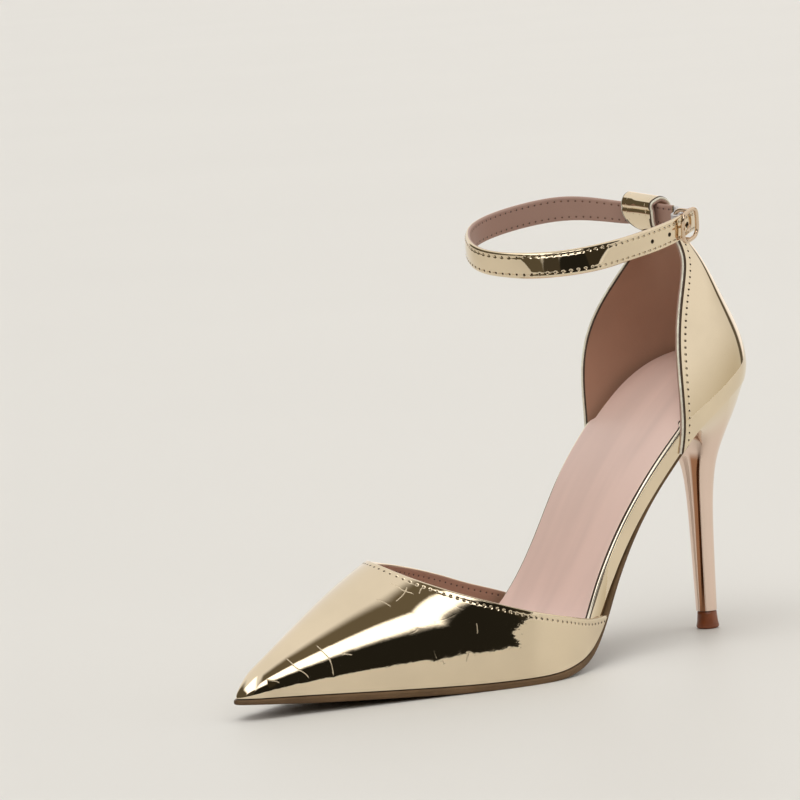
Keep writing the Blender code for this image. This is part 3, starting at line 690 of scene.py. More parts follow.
def band_profile(width, thick, crown, corner_steps=5):
    """Return a band's section: across its width, outwards, and 1 where the inner face is."""
    corner = BAND_CORNER * thick
    turn = np.linspace(0, math.pi / 2, corner_steps)
    flat = np.linspace(-1, 1, 11)[1:-1]
    reach = width / 2 - corner
    high, low = thick / 2 - crown, -thick / 2
    section = [(reach * f, high + crown * (1 - f * f), 0) for f in flat]
    section += [(reach + corner * math.sin(t), high - corner * (1 - math.cos(t)), 0) for t in turn]
    section += [(reach + corner * math.cos(t), low + corner * (1 - math.sin(t)), 1) for t in turn]
    section += [(-reach * f, low, 1) for f in flat]
    section += [(-reach - corner * math.sin(t), low + corner * (1 - math.cos(t)), 1) for t in turn]
    section += [(-reach - corner * math.cos(t), high - corner * (1 - math.sin(t)), 0) for t in turn]
    return section


def wire_rings(points, radius, closed, sides=20):
    """Return rings of a round wire along points, with frames carried along without twist."""
    points = np.asarray(points, float)
    if closed:
        along = unit(np.roll(points, -1, axis=0) - np.roll(points, 1, axis=0))
    else:
        along = unit(np.gradient(points, axis=0))
    side = unit(np.cross(along[0], STRAP_UP + np.array((0.01, 0.02, 0.0))))
    angle = np.linspace(0, 2 * math.pi, sides, endpoint=False)[:, None]
    radius = np.broadcast_to(radius, len(points))
    rings = []
    for point, direction, size in zip(points, along, radius):
        side = unit(side - direction * side.dot(direction))
        other = np.cross(direction, side)
        rings.append(point + size * (np.cos(angle) * side + np.sin(angle) * other))
    return np.stack(rings)


def face_normals(grid, towards=None):
    """Return the normals of a grid of points, on the side of the given direction or as its rows run."""
    normals = unit(np.cross(np.gradient(grid, axis=0), np.gradient(grid, axis=1)))
    if towards is not None:
        normals *= np.where((normals * towards).sum(axis=-1, keepdims=True) < 0, -1.0, 1.0)
    return normals


def from_line(points, line):
    """Return each point's distance from a line of points, the length along it and the nearest place on it."""
    flat = points.reshape(-1, 3)
    best = np.full(len(flat), np.inf)
    length = np.zeros(len(flat))
    nearest = np.zeros_like(flat)
    starts = run_length(line)
    for i in range(len(line) - 1):
        step = line[i + 1] - line[i]
        share = np.clip((flat - line[i]) @ step / max(step @ step, 1e-12), 0.0, 1.0)
        place = line[i] + share[:, None] * step
        distance = np.linalg.norm(flat - place, axis=1)
        nearer = distance < best
        best[nearer] = distance[nearer]
        length[nearer] = starts[i] + share[nearer] * (starts[i + 1] - starts[i])
        nearest[nearer] = place[nearer]
    shape = points.shape[:-1]
    return best.reshape(shape), length.reshape(shape), nearest.reshape(points.shape)


def to_world(points):
    """Turn millimetres from the heel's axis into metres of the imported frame."""
    return np.asarray(points, float) * MM + HEEL_AXIS


class Shell:
    """Collects grids of points in millimetres into one mesh, with a finish for each grid."""

    NO_SEAM = (0.0, 99.0)

    def __init__(self):
        self.points = []
        self.faces = []
        self.finishes = []
        self.seams = []
        self.creases = []
        self.count = 0

    def grid(self, points, finish, seam=None, crease=None, closed=False):
        """Add a grid of points as quads and return the numbers of its points."""
        rows, columns = points.shape[:2]
        index = self.count + np.arange(rows * columns).reshape(rows, columns)
        self.count += rows * columns
        self.points.append(points.reshape(-1, 3))
        seam = self.NO_SEAM if seam is None else seam
        self.seams.append(np.broadcast_to(seam, (rows, columns, 2)).reshape(-1, 2))
        creases = np.zeros((rows, columns, CREASE_CHANNELS, 3)) if crease is None else crease
        self.creases.append(creases.reshape(-1, CREASE_CHANNELS, 3))
        wrapped = np.concatenate([index, index[:, :1]], axis=1) if closed else index
        corners = (wrapped[:-1, :-1], wrapped[1:, :-1], wrapped[1:, 1:], wrapped[:-1, 1:])
        quads = np.stack(corners, axis=-1)
        finish = np.broadcast_to(finish, quads.shape[:2])
        self.faces += quads.reshape(-1, 4).tolist()
        self.finishes += finish.reshape(-1).tolist()
        return index

    def cap(self, ring, finish):
        """Close a ring of points with one face."""
        self.faces.append(list(map(int, ring)))
        self.finishes.append(finish)

    def rings(self, rings, finish, seam=None):
        """Add a tube of closed rings with a face over each end."""
        index = self.grid(rings, finish, seam, closed=True)
        last = np.broadcast_to(finish, (len(rings) - 1, rings.shape[1]))[0, 0]
        self.cap(index[0][::-1], last)
        self.cap(index[-1], last)

    def lip(self, outer, inner, away, bulge, finish, seam=None, steps=7):
        """Join an outer and an inner edge by a rounded lip that dies away at both ends."""
        wall = inner - outer
        ends = np.sin(np.linspace(0, math.pi, len(outer))) ** 0.15
        ends[[0, -1]] = 0.0
        height = bulge * np.linalg.norm(wall, axis=1) / 2 * ends
        rows = []
        for turn in np.linspace(0, math.pi, steps):
            rows.append(outer + wall * (1 - math.cos(turn)) / 2 + away * (height * math.sin(turn))[:, None])
        self.grid(np.stack(rows), finish, seam)

    def build(self, name, materials, sharp=50):
        """Return the object, its doubles merged and its faces turned outwards."""
        mesh = bpy.data.meshes.new(name)
        mesh.from_pydata(to_world(np.concatenate(self.points)), [], self.faces)
        for material in materials:
            mesh.materials.append(material)
        mesh.polygons.foreach_set("material_index", np.array(self.finishes, np.int32))
        corners = np.empty(len(mesh.loops), np.int32)
        mesh.loops.foreach_get("vertex_index", corners)
        seams = np.concatenate(self.seams)
        mesh.uv_layers.new(name="seam").data.foreach_set("uv", seams[corners].astype(np.float32).ravel())
        creases = np.concatenate(self.creases).astype(np.float32)
        for channel in range(CREASE_CHANNELS if creases.any() else 0):
            layer = mesh.attributes.new(f"crease_{channel}", "FLOAT_VECTOR", "POINT")
            layer.data.foreach_set("vector", creases[:, channel].ravel())
        bm = bmesh.new()
        bm.from_mesh(mesh)
        bmesh.ops.remove_doubles(bm, verts=bm.verts, dist=2e-6)
        bmesh.ops.recalc_face_normals(bm, faces=bm.faces)
        if bm.calc_volume(signed=True) < 0:
            bmesh.ops.reverse_faces(bm, faces=bm.faces)
        bm.to_mesh(mesh)
        bm.free()
        mesh.shade_smooth()
        mesh.set_sharp_from_angle(angle=math.radians(sharp))
        return bpy.data.objects.new(name, mesh)


def settle(piece, slot, *nodes):
    """Put a finished piece into the scene, on the shoe's one body, in place of the solids it stands for."""
    if piece.name not in bpy.context.scene.collection.objects:
        bpy.context.scene.collection.objects.link(piece)
    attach(piece, "root")
    if nodes:
        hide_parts(*nodes)
    if not piece.data.polygons:
        raise RuntimeError(piece.name + " has no faces")


def freeze(piece):
    """Turn a piece and its modifiers into a plain mesh."""
    bpy.context.view_layer.update()
    mesh = bpy.data.meshes.new_from_object(piece.evaluated_get(bpy.context.evaluated_depsgraph_get()))
    piece.modifiers.clear()
    piece.data = mesh
    mesh.name = piece.name


def feed(tree, socket, value):
    """Link a socket to an output, or set its value."""
    if isinstance(value, bpy.types.NodeSocket):
        tree.links.new(value, socket)
    else:
        socket.default_value = value


def add_node(tree, kind, sockets, **options):
    """Add a node, set its options, and feed its sockets by name or number."""
    node = tree.nodes.new(kind)
    for key, value in options.items():
        setattr(node, key, value)
    for key, value in sockets.items():
        feed(tree, node.inputs[key], value)
    return node


def maths(tree, operation, *values):
    """Return the output of a math node."""
    return add_node(tree, "ShaderNodeMath", dict(enumerate(values)), operation=operation).outputs[0]


def scaled(tree, value, by):
    """Return a value times a number or another value."""
    return maths(tree, "MULTIPLY", value, by)


def axes(tree, vector):
    """Return the outputs X, Y and Z of a vector."""
    return add_node(tree, "ShaderNodeSeparateXYZ", {"Vector": vector}).outputs


def seam_map(tree):
    """Return the piece's own map, in most pieces X along a seam and Y away from its edge in millimetres."""
    return axes(tree, add_node(tree, "ShaderNodeUVMap", {}, uv_map="seam").outputs["UV"])


def ramp(tree, value, low, high, start=0.0, end=1.0):
    """Return a smooth rise from start at low to end at high."""
    if low > high:
        low, high, start, end = high, low, end, start
    sockets = {"Value": value, "From Min": low, "From Max": high, "To Min": start, "To Max": end}
    node = add_node(tree, "ShaderNodeMapRange", sockets, interpolation_type="SMOOTHSTEP", clamp=True)
    return node.outputs["Result"]


def mix_colours(tree, share, first, second):
    """Return a mix of two colours."""
    node = add_node(tree, "ShaderNodeMix", {0: share}, data_type="RGBA")
    feed(tree, node.inputs[6], first)
    feed(tree, node.inputs[7], second)
    return node.outputs[2]


def noise(tree, place, scale, detail=2.0, roughness=0.5):
    """Return fine noise between about 0.3 and 0.7."""
    sockets = {"Vector": place, "Scale": scale, "Detail": detail, "Roughness": roughness}
    return add_node(tree, "ShaderNodeTexNoise", sockets).outputs["Fac"]


def shade(colour, by):
    """Return a colour with full alpha, lighter or darker by a factor."""
    return (*(min(channel * by, 1.0) for channel in colour), 1.0)


def new_finish(name, colour, roughness, metallic=0.0, **values):
    """Return a material, its node tree and its shader, with plain values on the shader's own sockets."""
    material = bpy.data.materials.new(name)
    material.use_nodes = True
    tree = material.node_tree
    shader = tree.nodes["Principled BSDF"]
    shader.inputs["Base Color"].default_value = shade(colour, 1.0)
    shader.inputs["Roughness"].default_value = roughness
    shader.inputs["Metallic"].default_value = metallic
    for key, value in values.items():
        shader.inputs[key.replace("_", " ")].default_value = value
    return material, tree, shader


def object_place(tree):
    """Return the piece's own coordinates in metres."""
    return tree.nodes.new("ShaderNodeTexCoord").outputs["Object"]


def stretched(tree, place, scale):
    """Return coordinates stretched by a factor along each axis."""
    return add_node(tree, "ShaderNodeMapping", {"Vector": place, "Scale": scale}).outputs["Vector"]


def dress(tree, shader, tint, heights, gloss=None):
    """Link a colour, the sum of heights in millimetres and a roughness to a shader."""
    tree.links.new(tint, shader.inputs["Base Color"])
    if gloss is not None:
        tree.links.new(gloss, shader.inputs["Roughness"])
    relief = heights[0]
    for height in heights[1:]:
        relief = maths(tree, "ADD", relief, height)
    bump = add_node(tree, "ShaderNodeBump", {"Strength": 1.0, "Distance": MM, "Height": relief})
    tree.links.new(bump.outputs["Normal"], shader.inputs["Normal"])


def needle_row(tree, spacing, inset, hole):
    """Return the height of a stitch row's pulled leather in millimetres, and 1 in its needle holes."""
    seam = seam_map(tree)
    along = maths(tree, "PINGPONG", seam["X"], spacing / 2)
    across = maths(tree, "SUBTRACT", seam["Y"], inset)
    squares = maths(tree, "ADD", maths(tree, "POWER", along, 2.0), maths(tree, "POWER", across, 2.0))
    away = maths(tree, "SQRT", squares)
    groove = ramp(tree, maths(tree, "ABSOLUTE", across), *NEEDLE_GROOVE)
    dimple = ramp(tree, away, *NEEDLE_DIMPLE)
    return maths(tree, "ADD", groove, dimple), ramp(tree, away, hole, NEEDLE_HOLE_CORE * hole)


def crack_lines(tree, channel):
    """Return the height of one channel of cracks in millimetres, and the roughness where they are worn."""
    values = add_node(tree, "ShaderNodeAttribute", {}, attribute_name=f"crease_{channel}")
    lines = axes(tree, values.outputs["Vector"])
    square = scaled(tree, lines["X"], lines["X"])
    near = maths(tree, "EXPONENT", scaled(tree, square, -CRACK_SHARPNESS))
    worn = scaled(tree, near, ramp(tree, lines["Y"], *CRACK_WEAR))
    return scaled(tree, scaled(tree, near, lines["Y"]), -CRACK_RELIEF), scaled(tree, worn, CRACK_ROUGHNESS)


def gold_leather(
        name, spacing=0.0, inset=0.0, wavy=1.0, cracked=False, moulding=None, groove=0.0, flare=None):
    """Mirror gold foil on leather: faint orange peel, scuffs, cracked creases and pulled stitch rows, with
    painted shade in the needle holes and along the counter's front edge.
    """
    colours = bpy.context.scene.pump_colours
    material, tree, shader = new_finish(name, colours.gold, 0.05, 1.0)
    place = object_place(tree)
    # Near black painted shade for the needle holes and the counter's front edge
    dark = shade(colours.painted_shade, 1.0)
    cloud = noise(tree, place, 38.0, 3.0)
    gold = colours.gold
    tint = mix_colours(tree, ramp(tree, cloud, 0.35, 0.65), shade(gold, 0.97), shade(gold, 1.03))
    scuffs = noise(tree, stretched(tree, place, (1.0, 0.6, 1.6)), 420.0, 4.0, 0.65)
    gloss = ramp(tree, scuffs, 0.60, 0.80, 0.03, 0.11)
    heights = [
        scaled(tree, noise(tree, place, 95.0, 1.0), 0.03 * wavy),
        scaled(tree, noise(tree, place, 700.0, 2.0), 0.006),
    ]
    if moulding:
        heights.append(ramp(tree, axes(tree, place)["Z"], *moulding))
    if flare:
        heights.append(ramp(tree, seam_map(tree)["Y"], *flare))
    if cracked:
        fade = ramp(tree, axes(tree, place)["X"], *SIDE_RIPPLE)
        heights.append(scaled(tree, noise(tree, place, 300.0, 3.0), fade))
    for channel in range(CREASE_CHANNELS if cracked else 0):
        height, worn = crack_lines(tree, channel)
        heights.append(height)
        gloss = maths(tree, "MAXIMUM", gloss, worn)
    if spacing:
        row, holes = needle_row(tree, spacing, inset, NEEDLE_HOLE_GOLD)
        heights.append(row)
        # Needle holes painted in shade
        tint = mix_colours(tree, holes, tint, dark)
        gloss = maths(tree, "MAXIMUM", gloss, scaled(tree, holes, 0.6))
    # A line of painted shade along the counter's front edge
    if groove:
        blur = COUNTER_EDGE_SHADE_BLUR
        edge_shade = ramp(tree, seam_map(tree)["Y"], groove + blur, groove - blur)
        tint = mix_colours(tree, edge_shade, tint, dark)
    dress(tree, shader, tint, heights, gloss)
    return material


def lining_leather(name, colour, roughness, streaks, spacing=0.0, inset=0.0):
    """Soft lining leather: pores, cloudy colour and faint streaks along the shoe, and painted shade in the
    needle holes.
    """
    material, tree, shader = new_finish(name, colour, roughness, Coat_Weight=0.12, Coat_Roughness=0.35)
    place = object_place(tree)
    lines = ramp(tree, noise(tree, stretched(tree, place, (0.03, 0.6, 0.08)), 150.0, 2.0), 0.32, 0.68)
    cloud = noise(tree, place, 60.0, 3.0)
    share = maths(tree, "ADD", scaled(tree, lines, streaks), scaled(tree, cloud, 1.0 - streaks))
    tint = mix_colours(tree, share, shade(colour, 0.91), shade(colour, 1.08))
    pores = add_node(tree, "ShaderNodeTexVoronoi", {"Vector": place, "Scale": 1500.0}).outputs["Distance"]
    heights = [
        scaled(tree, ramp(tree, pores, 0.0, 0.35), 0.02),
        scaled(tree, noise(tree, place, 900.0, 3.0), 0.03),
    ]
    if spacing:
        row, holes = needle_row(tree, spacing, inset, NEEDLE_HOLE_LINING)
        heights.append(row)
        # Needle holes painted in shade
        tint = mix_colours(tree, holes, tint, shade(colour, 0.16))
    dress(tree, shader, tint, heights)
    return material


def plating(name, colour, top=None, breast=None):
    """Polished plating with faint waves and hairlines; the heel's map adds the colours of top and breast."""
    material, tree, shader = new_finish(name, colour, 0.09, 1.0)
    place = object_place(tree)
    cloud = noise(tree, place, 30.0, 2.0)
    tint = mix_colours(tree, ramp(tree, cloud, 0.3, 0.7), shade(colour, 0.97), shade(colour, 1.03))
    hairs = noise(tree, stretched(tree, place, (1.0, 1.0, 0.06)), 900.0, 3.0)
    gloss = ramp(tree, hairs, 0.45, 0.8, 0.07, 0.15)
    if top is not None:
        seam = seam_map(tree)
        tint = mix_colours(tree, ramp(tree, seam["Y"], *HEEL_TOP_FADE), tint, shade(top, 1.0))
        low = ramp(tree, seam["Y"], *STRIPE_TOP)
        stripe = scaled(tree, ramp(tree, seam["X"], *STRIPE_SIDE), low)
        tint = mix_colours(tree, stripe, tint, shade(breast, 1.0))
        first, last = STRIPE_RIM
        rim = scaled(tree, ramp(tree, seam["X"], *first), ramp(tree, seam["X"], *last))
        gloss = maths(tree, "MAXIMUM", gloss, scaled(tree, scaled(tree, rim, low), 0.5))
    dress(tree, shader, tint, [scaled(tree, noise(tree, place, 70.0, 1.0), 0.02)], gloss)
    return material


def moulded(name, colour, roughness, grain, coat, shine=0.5):
    """Sheet or moulded material with fine grain and worn, cloudy colour."""
    material, tree, shader = new_finish(name, colour, roughness, Coat_Weight=coat, Specular_IOR_Level=shine)
    place = object_place(tree)
    cloud = noise(tree, stretched(tree, place, (0.3, 1.0, 1.0)), 160.0, 4.0, 0.6)
    tint = mix_colours(tree, ramp(tree, cloud, 0.3, 0.7), shade(colour, 0.82), shade(colour, 1.2))
    gloss = ramp(tree, noise(tree, place, 300.0, 3.0), 0.3, 0.7, roughness * 0.85, min(roughness * 1.2, 1.0))
    dress(tree, shader, tint, [scaled(tree, noise(tree, place, 1100.0, 3.0), grain)], gloss)
    return material


def woven_elastic(name):
    """White elastic: ribs along the band and fine cross threads, from the band's own map."""
    colour = bpy.context.scene.pump_colours.elastic
    material, tree, shader = new_finish(name, colour, 0.85, Sheen_Weight=0.3)
    band = seam_map(tree)
    ribs = maths(tree, "PINGPONG", band["Y"], 0.32)
    picks = maths(tree, "PINGPONG", band["X"], 0.2)
    weave = maths(tree, "ADD", ribs, scaled(tree, picks, 0.6))
    tint = mix_colours(tree, ramp(tree, weave, 0.0, 0.32), shade(colour, 0.66), shade(colour, 1.06))
    dress(tree, shader, tint, [scaled(tree, weave, 0.5)])
    return material


def sewing_thread(name, colour):
    """Twisted thread with a soft sheen."""
    material, tree, shader = new_finish(name, colour, 0.45, Sheen_Weight=0.2)
    strands = noise(tree, object_place(tree), 2600.0, 2.0)
    tint = mix_colours(tree, ramp(tree, strands, 0.35, 0.65), shade(colour, 0.75), shade(colour, 1.2))
    dress(tree, shader, tint, [scaled(tree, strands, 0.06)])
    return material


def plate_rings(stations, inset, upper, lower, bevel, puff=0.0):
    """Return rings of a plate under the bed line, its edges rounded and its upper face slightly crowned."""
    x = np.asarray(stations, float)[:, None]
    corner = np.minimum(bevel, 0.45 * (lower(x) - upper(x)))
    turn = np.linspace(0, math.pi / 2, 6)[None, :]
    extra = np.concatenate([corner * (1 - np.sin(turn)), corner * (1 - np.cos(turn))], axis=1)
    rounded_top = upper(x) + corner * (1 - np.cos(turn))
    rounded_base = lower(x) - corner * (1 - np.sin(turn))
    depth = np.concatenate([rounded_top, rounded_base], axis=1)
    rims = []
    for side in (1, -1):
        place, across = edge_point(x, side, inset(x) + extra)
        along, height = below_bed(place, depth)
        rims.append(np.stack([along, across, height], axis=-1))
    outer, inner = rims
    share = np.linspace(0, 1, 14)[None, 1:-1, None]
    top = inner[:, :1] + (outer[:, :1] - inner[:, :1]) * share
    top[..., 2] += puff * (4 * share * (1 - share))[..., 0]
    bottom = outer[:, -1:] + (inner[:, -1:] - outer[:, -1:]) * share
    rings = np.concatenate([outer, bottom, inner[:, ::-1], top], axis=1)
    rings[..., 2] = np.maximum(rings[..., 2], 0.0)
    return rings


def sole_stations(first, last, count):
    """Return places along the shoe, closer together towards both ends."""
    return first + (last - first) * (1 - np.cos(math.pi * np.linspace(0, 1, count))) / 2


def make_outsole():
    """Outsole sheet with its painted edge."""
    def inset(x):
        share = forefoot_share(x)
        return OUTSOLE_WAIST_INSET * (1 - share) - OUTSOLE_OVERHANG * share

    def upper(x):
        return board_thick(x) + OUTSOLE_GAP

    def lower(x):
        return upper(x) + outsole_thick(x)

    colours = bpy.context.scene.pump_colours
    shell = Shell()
    stations = sole_stations(OUTSOLE_BACK, OUTSOLE_TOE, SOLE_STEPS)
    shell.rings(plate_rings(stations, inset, upper, lower, OUTSOLE_BEVEL), 0)
    sheet = moulded("taupe_sole_sheet", colours.outsole, 0.55, 0.02, 0.0, 0.2)
    settle(shell.build("outsole_sheet", [sheet]), "outsole", "outsole")


def make_board(stations):
    """Insole board, wrapped in gold where its side shows."""
    board = Shell()
    board.rings(plate_rings(stations, covered_inset, np.zeros_like, board_thick, BOARD_BEVEL), 0)
    settle(board.build("insole_wrap", [gold_leather("wrapped_edge_gold")]), "gold_leather", "insole_board")


def make_sock(stations):
    """Pink sock that the foot stands on, with its edge painted in shade for the gap beside the bead."""
    def inset(x):
        return covered_inset(x) + SOCK_INSET

    def upper(x):
        return np.full_like(x, -GAP - SOCK_THICK)

    def lower(x):
        return np.full_like(x, -GAP)

    colours = bpy.context.scene.pump_colours
    rings = plate_rings(stations, inset, upper, lower, SOCK_BEVEL, SOCK_PUFF)
    # The sock's edge is painted in shade, for the dark gap beside the bead
    edge = np.zeros((len(rings) - 1, rings.shape[1]), int)
    for columns in SOCK_SHADE_COLUMNS:
        edge[:, columns] = 1
    sock = Shell()
    sock.rings(rings, edge)
    pink = lining_leather("pink_sock", colours.sock, 0.36, 0.7)
    dark = moulded("sock_edge_shade", colours.painted_shade, 0.5, 0.02, 0.1)
    settle(sock.build("sock_lining", [pink, dark]), "lining", "insole_sock")


def make_bead():
    """Bead along the board's edge between counter and vamp, with a line of painted shade on either side."""
    colours = bpy.context.scene.pump_colours
    radius = bpy.context.scene.pump_sizes.bead_radius / MM
    # Inset, depth, radius and finish of the bead and of its two lines of painted shade
    wires = (
        (radius + 0.3, -0.5 * radius, radius, 0),
        (0.34, -0.05, BEAD_LINE_RADIUS, 1),
        (2 * radius + 0.5, -0.4, BEAD_LINE_RADIUS, 1),
    )
    x = np.linspace(*BEAD_RUN, BEAD_STEPS)
    bead = Shell()
    for side in (1, -1):
        for inset, depth, size, finish in wires:
            place, across = edge_point(x, side, covered_inset(x) + inset)
            along, height = below_bed(place, depth)
            line = np.stack([along, across, height], axis=-1)
            bead.rings(wire_rings(line, size, False, 14), finish)
    # The real bead is coloured paler than the foil as a painted highlight
    bead_highlight = plating("bead_gold_highlight", colours.bead)
    # Near black lines beside the bead: painted shade
    dark = moulded("bead_side_shade", colours.painted_shade, 0.5, 0.02, 0.1)
    settle(bead.build("edge_bead", [bead_highlight, dark]), "gold_leather")


def make_insole():
    """Insole: the wrapped board, its sock and the bead beside the sock."""
    stations = sole_stations(BOARD_BACK, BOARD_TOE, SOLE_STEPS)
    make_board(stations)
    make_sock(stations)
    make_bead()


def vamp_creases(grid, normals):
    """Return the relief of the vamp's creases, and in channels the offset and depth of the cracks."""
    strength = bpy.context.scene.pump_sizes.crease_depth
    relief = np.zeros(grid.shape[:2])
    cracks = np.zeros(grid.shape[:2] + (CREASE_CHANNELS, 3))
    for depth, width, crack, route in VAMP_CREASES:
        path = through(route, 24)
        line = vamp_point(path[:, 0], path[:, 1])
        distance, length, nearest = from_line(grid, line)
        share = length / run_length(line)[-1]
        ends = smoothstep(0, CREASE_FADE, share) * smoothstep(0, CREASE_FADE, 1 - share)
        trough = np.exp(-((distance / width) ** 2))
        rim = CREASE_RIM * np.exp(-(((distance - CREASE_RIM_PLACE * width) / width) ** 2))
        relief += strength * depth * (rim - trough) * ends
        step = line[-1] - line[0]
        sides = np.sign((np.cross(normals, step) * (grid - nearest)).sum(axis=-1))
        weight = strength * crack * ends * (distance < CRACK_REACH)
        touched = distance < CRACK_REACH + 1
        busy = [cracks[touched][:, channel, 1].any() for channel in range(CREASE_CHANNELS)]
        free = busy.index(False) if False in busy else CREASE_CHANNELS - 1
        cracks[weight > 0, free, 0] = (sides * distance)[weight > 0]
        cracks[weight > 0, free, 1] = weight[weight > 0]
    return relief, cracks


def edge_seam(grid, *sides):
    """Return the map of the seams near a grid's edges: length along an edge and distance from it."""
    seam = np.empty(grid.shape[:2] + (2,))
    seam[:] = Shell.NO_SEAM
    for edge, columns in sides:
        distance, length, _ = from_line(grid[:, columns], grid[:, edge])
        seam[:, columns, 0] = length
        seam[:, columns, 1] = distance
    return seam


def vamp_normals(outer):
    """Return the outward normals of the vamp's face."""
    x = outer[..., 0]
    middle = np.stack([x, 0 * x, feather_height(x) + VAMP_CORE_HEIGHT], axis=-1)
    return face_normals(outer, outer - middle)


def make_vamp():
    """Vamp: creased mirror gold outside, pink lining inside, with a folded top edge."""
    sizes = bpy.context.scene.pump_sizes
    colours = bpy.context.scene.pump_colours
    outer = vamp_grid(*VAMP_STEPS)
    normals = vamp_normals(outer)
    normals[:, -1] = (1, 0, 0)
    relief, crease = vamp_creases(outer, normals)
    seam = edge_seam(outer, (0, VAMP_SEAM_COLUMNS))
    calm = smoothstep(0.0, 1.0, np.linalg.norm(outer - outer[:, :1], axis=-1))
    calm *= smoothstep(VAMP_CALM_TOE, VAMP_INNER_TOE, outer[..., 0])
    outer = outer + normals * (relief * calm)[..., None]
    inner = vamp_grid(*VAMP_STEPS, VAMP_WALL, VAMP_INNER_TOE)
    shell = Shell()
    face = shell.grid(outer, 0, seam, crease)
    back = shell.grid(inner, 1, edge_seam(inner, (0, VAMP_SEAM_COLUMNS)))
    shell.cap(back[:, -1], 1)
    shell.cap([face[0, -1], back[0, -1], back[-1, -1]], 1)
    along = unit(np.gradient(outer[:, 0], axis=0))
    away = unit(np.cross(along, inner[:, 0] - outer[:, 0]))
    away *= np.sign((away * (outer[:, 0] - outer[:, 6])).sum(axis=1, keepdims=True))
    shell.lip(outer[:, 0], inner[:, 0], away, VAMP_LIP, np.array(VAMP_LIP_FINISH)[:, None])
    for row in (0, -1):
        shell.grid(np.stack([outer[row], inner[row]]), 1)
    spacing = sizes.stitch_spacing / MM
    gold = gold_leather("vamp_gold", spacing, sizes.seam_inset / MM, cracked=True, flare=VAMP_FLARE)
    # Darker copy of the counter's lining: painted shade inside the vamp
    pink = shade(colours.counter_lining, VAMP_LINING_PAINTED_SHADE)[:3]
    pink = lining_leather("vamp_lining", pink, 0.5, 0.4, spacing, VAMP_LINING_SEAM)
    settle(shell.build("vamp_leather", [gold, pink]), "gold_leather", "vamp")


def counter_normals(outer):
    """Return the outward normals of the counter's face, which at its back point away from the toe."""
    normals = face_normals(outer)
    back = normals[COUNTER_BACK_ROW, outer.shape[1] // 2]
    return -normals if back[0] > 0 else normals


def side_lines(outer, normals, inset, rise):
    """Return the two lines at a distance from the counter's front edges, with their normals."""
    lines = []
    for grid, facing in ((outer, normals), (outer[:, ::-1], normals[:, ::-1])):
        near, face = grid[:, :COUNTER_SEAM_COLUMNS], facing[:, :COUNTER_SEAM_COLUMNS]
        distance, _, _ = from_line(near, grid[:, 0])
        lines.append(inside_edge(near, face, np.maximum.accumulate(distance, axis=1), inset, rise))
    return lines


def fold_length(outer):
    """Return each row's distance along the tab from the line where its fold is sewn down."""
    middle = outer[:, outer.shape[1] // 2]
    folded = (middle[:, 0] > TAB_FOLD_FRONT) & (middle[:, 2] > TAB_FOLD_LOW)
    at = np.where(folded)[0][np.argmin(np.abs(middle[folded][:, 2] - TAB_SEAM_HEIGHT))]
    length = run_length(middle)
    return length - length[at]


def edge_away(outer, inner, column):
    """Return the directions in which a side edge of the counter faces."""
    next_column = 3 if column == 0 else -4
    along = unit(np.gradient(outer[:, column], axis=0))
    away = unit(np.cross(along, inner[:, column] - outer[:, column]))
    return away * np.sign((away * (outer[:, column] - outer[:, next_column])).sum(axis=1, keepdims=True))


def make_counter():
    """Counter: gold cup with a piped front edge, its fold and a line beside it in painted shade, brown lining
    and the tab folded over the strap.
    """
    sizes = bpy.context.scene.pump_sizes
    colours = bpy.context.scene.pump_colours
    outer = counter_grid(*COUNTER_STEPS)
    normals = counter_normals(outer)
    inner = outer - normals * COUNTER_WALL
    seam = edge_seam(outer, (0, slice(0, COUNTER_SEAM_COLUMNS)), (-1, slice(-COUNTER_SEAM_COLUMNS, None)))
    seam[outer[..., 2] > TAB_START] = Shell.NO_SEAM
    shell = Shell()
    pinch = TAB_PINCH * np.exp(-(fold_length(outer) / TAB_PINCH_WIDTH) ** 2)
    outer = outer - normals * pinch[:, None, None]
    shell.grid(outer, COUNTER_GOLD, seam)
    shell.grid(inner, COUNTER_LINING)
    for column in (0, -1):
        edge = outer[:, column]
        wall = inner[:, column] - edge
        away = edge_away(outer, inner, column)
        # The folded front edge is painted in near black shade
        shell.lip(edge, inner[:, column], away, COUNTER_LIP, COUNTER_EDGE_PAINTED_SHADE, steps=9)
        trims = [(PIPING_SHARE, COUNTER_PIPING)]
        if column == -1:
            trims.append((ROLL_SHARE, COUNTER_ROLL))
        for share, finish in trims:
            cord = edge + share * wall + PIPING_RISE * away
            shell.rings(wire_rings(cord, PIPING_RADIUS, False, 12), finish)
    shell.lip(outer[-1], inner[-1], unit(outer[-1] - outer[-4]), TAB_LIP, COUNTER_GOLD)
    shell.grid(np.stack([outer[0], inner[0]]), COUNTER_GOLD)
    spacing = sizes.stitch_spacing * COUNTER_STITCHING / MM
    gold = gold_leather(
        "counter_gold", spacing, COUNTER_SEAM, moulding=COUNTER_MOULDING, groove=COUNTER_EDGE_SHADE)
    brown = lining_leather("counter_lining", colours.counter_lining, 0.6, 0.2)
    pink = lining_leather("counter_edge", colours.lining, 0.5, 0.2)
    # Painted shade for the counter's folded edge
    groove = moulded("counter_edge_shade", colours.painted_shade, 0.5, 0.02, 0.1)
    # The piping's pale colour is a painted highlight
    piping = moulded("counter_piping", colours.bead, 0.25, 0.0, 0.6)
    settle(shell.build("counter_leather", [gold, brown, pink, groove, piping]), "gold_leather", "counter")


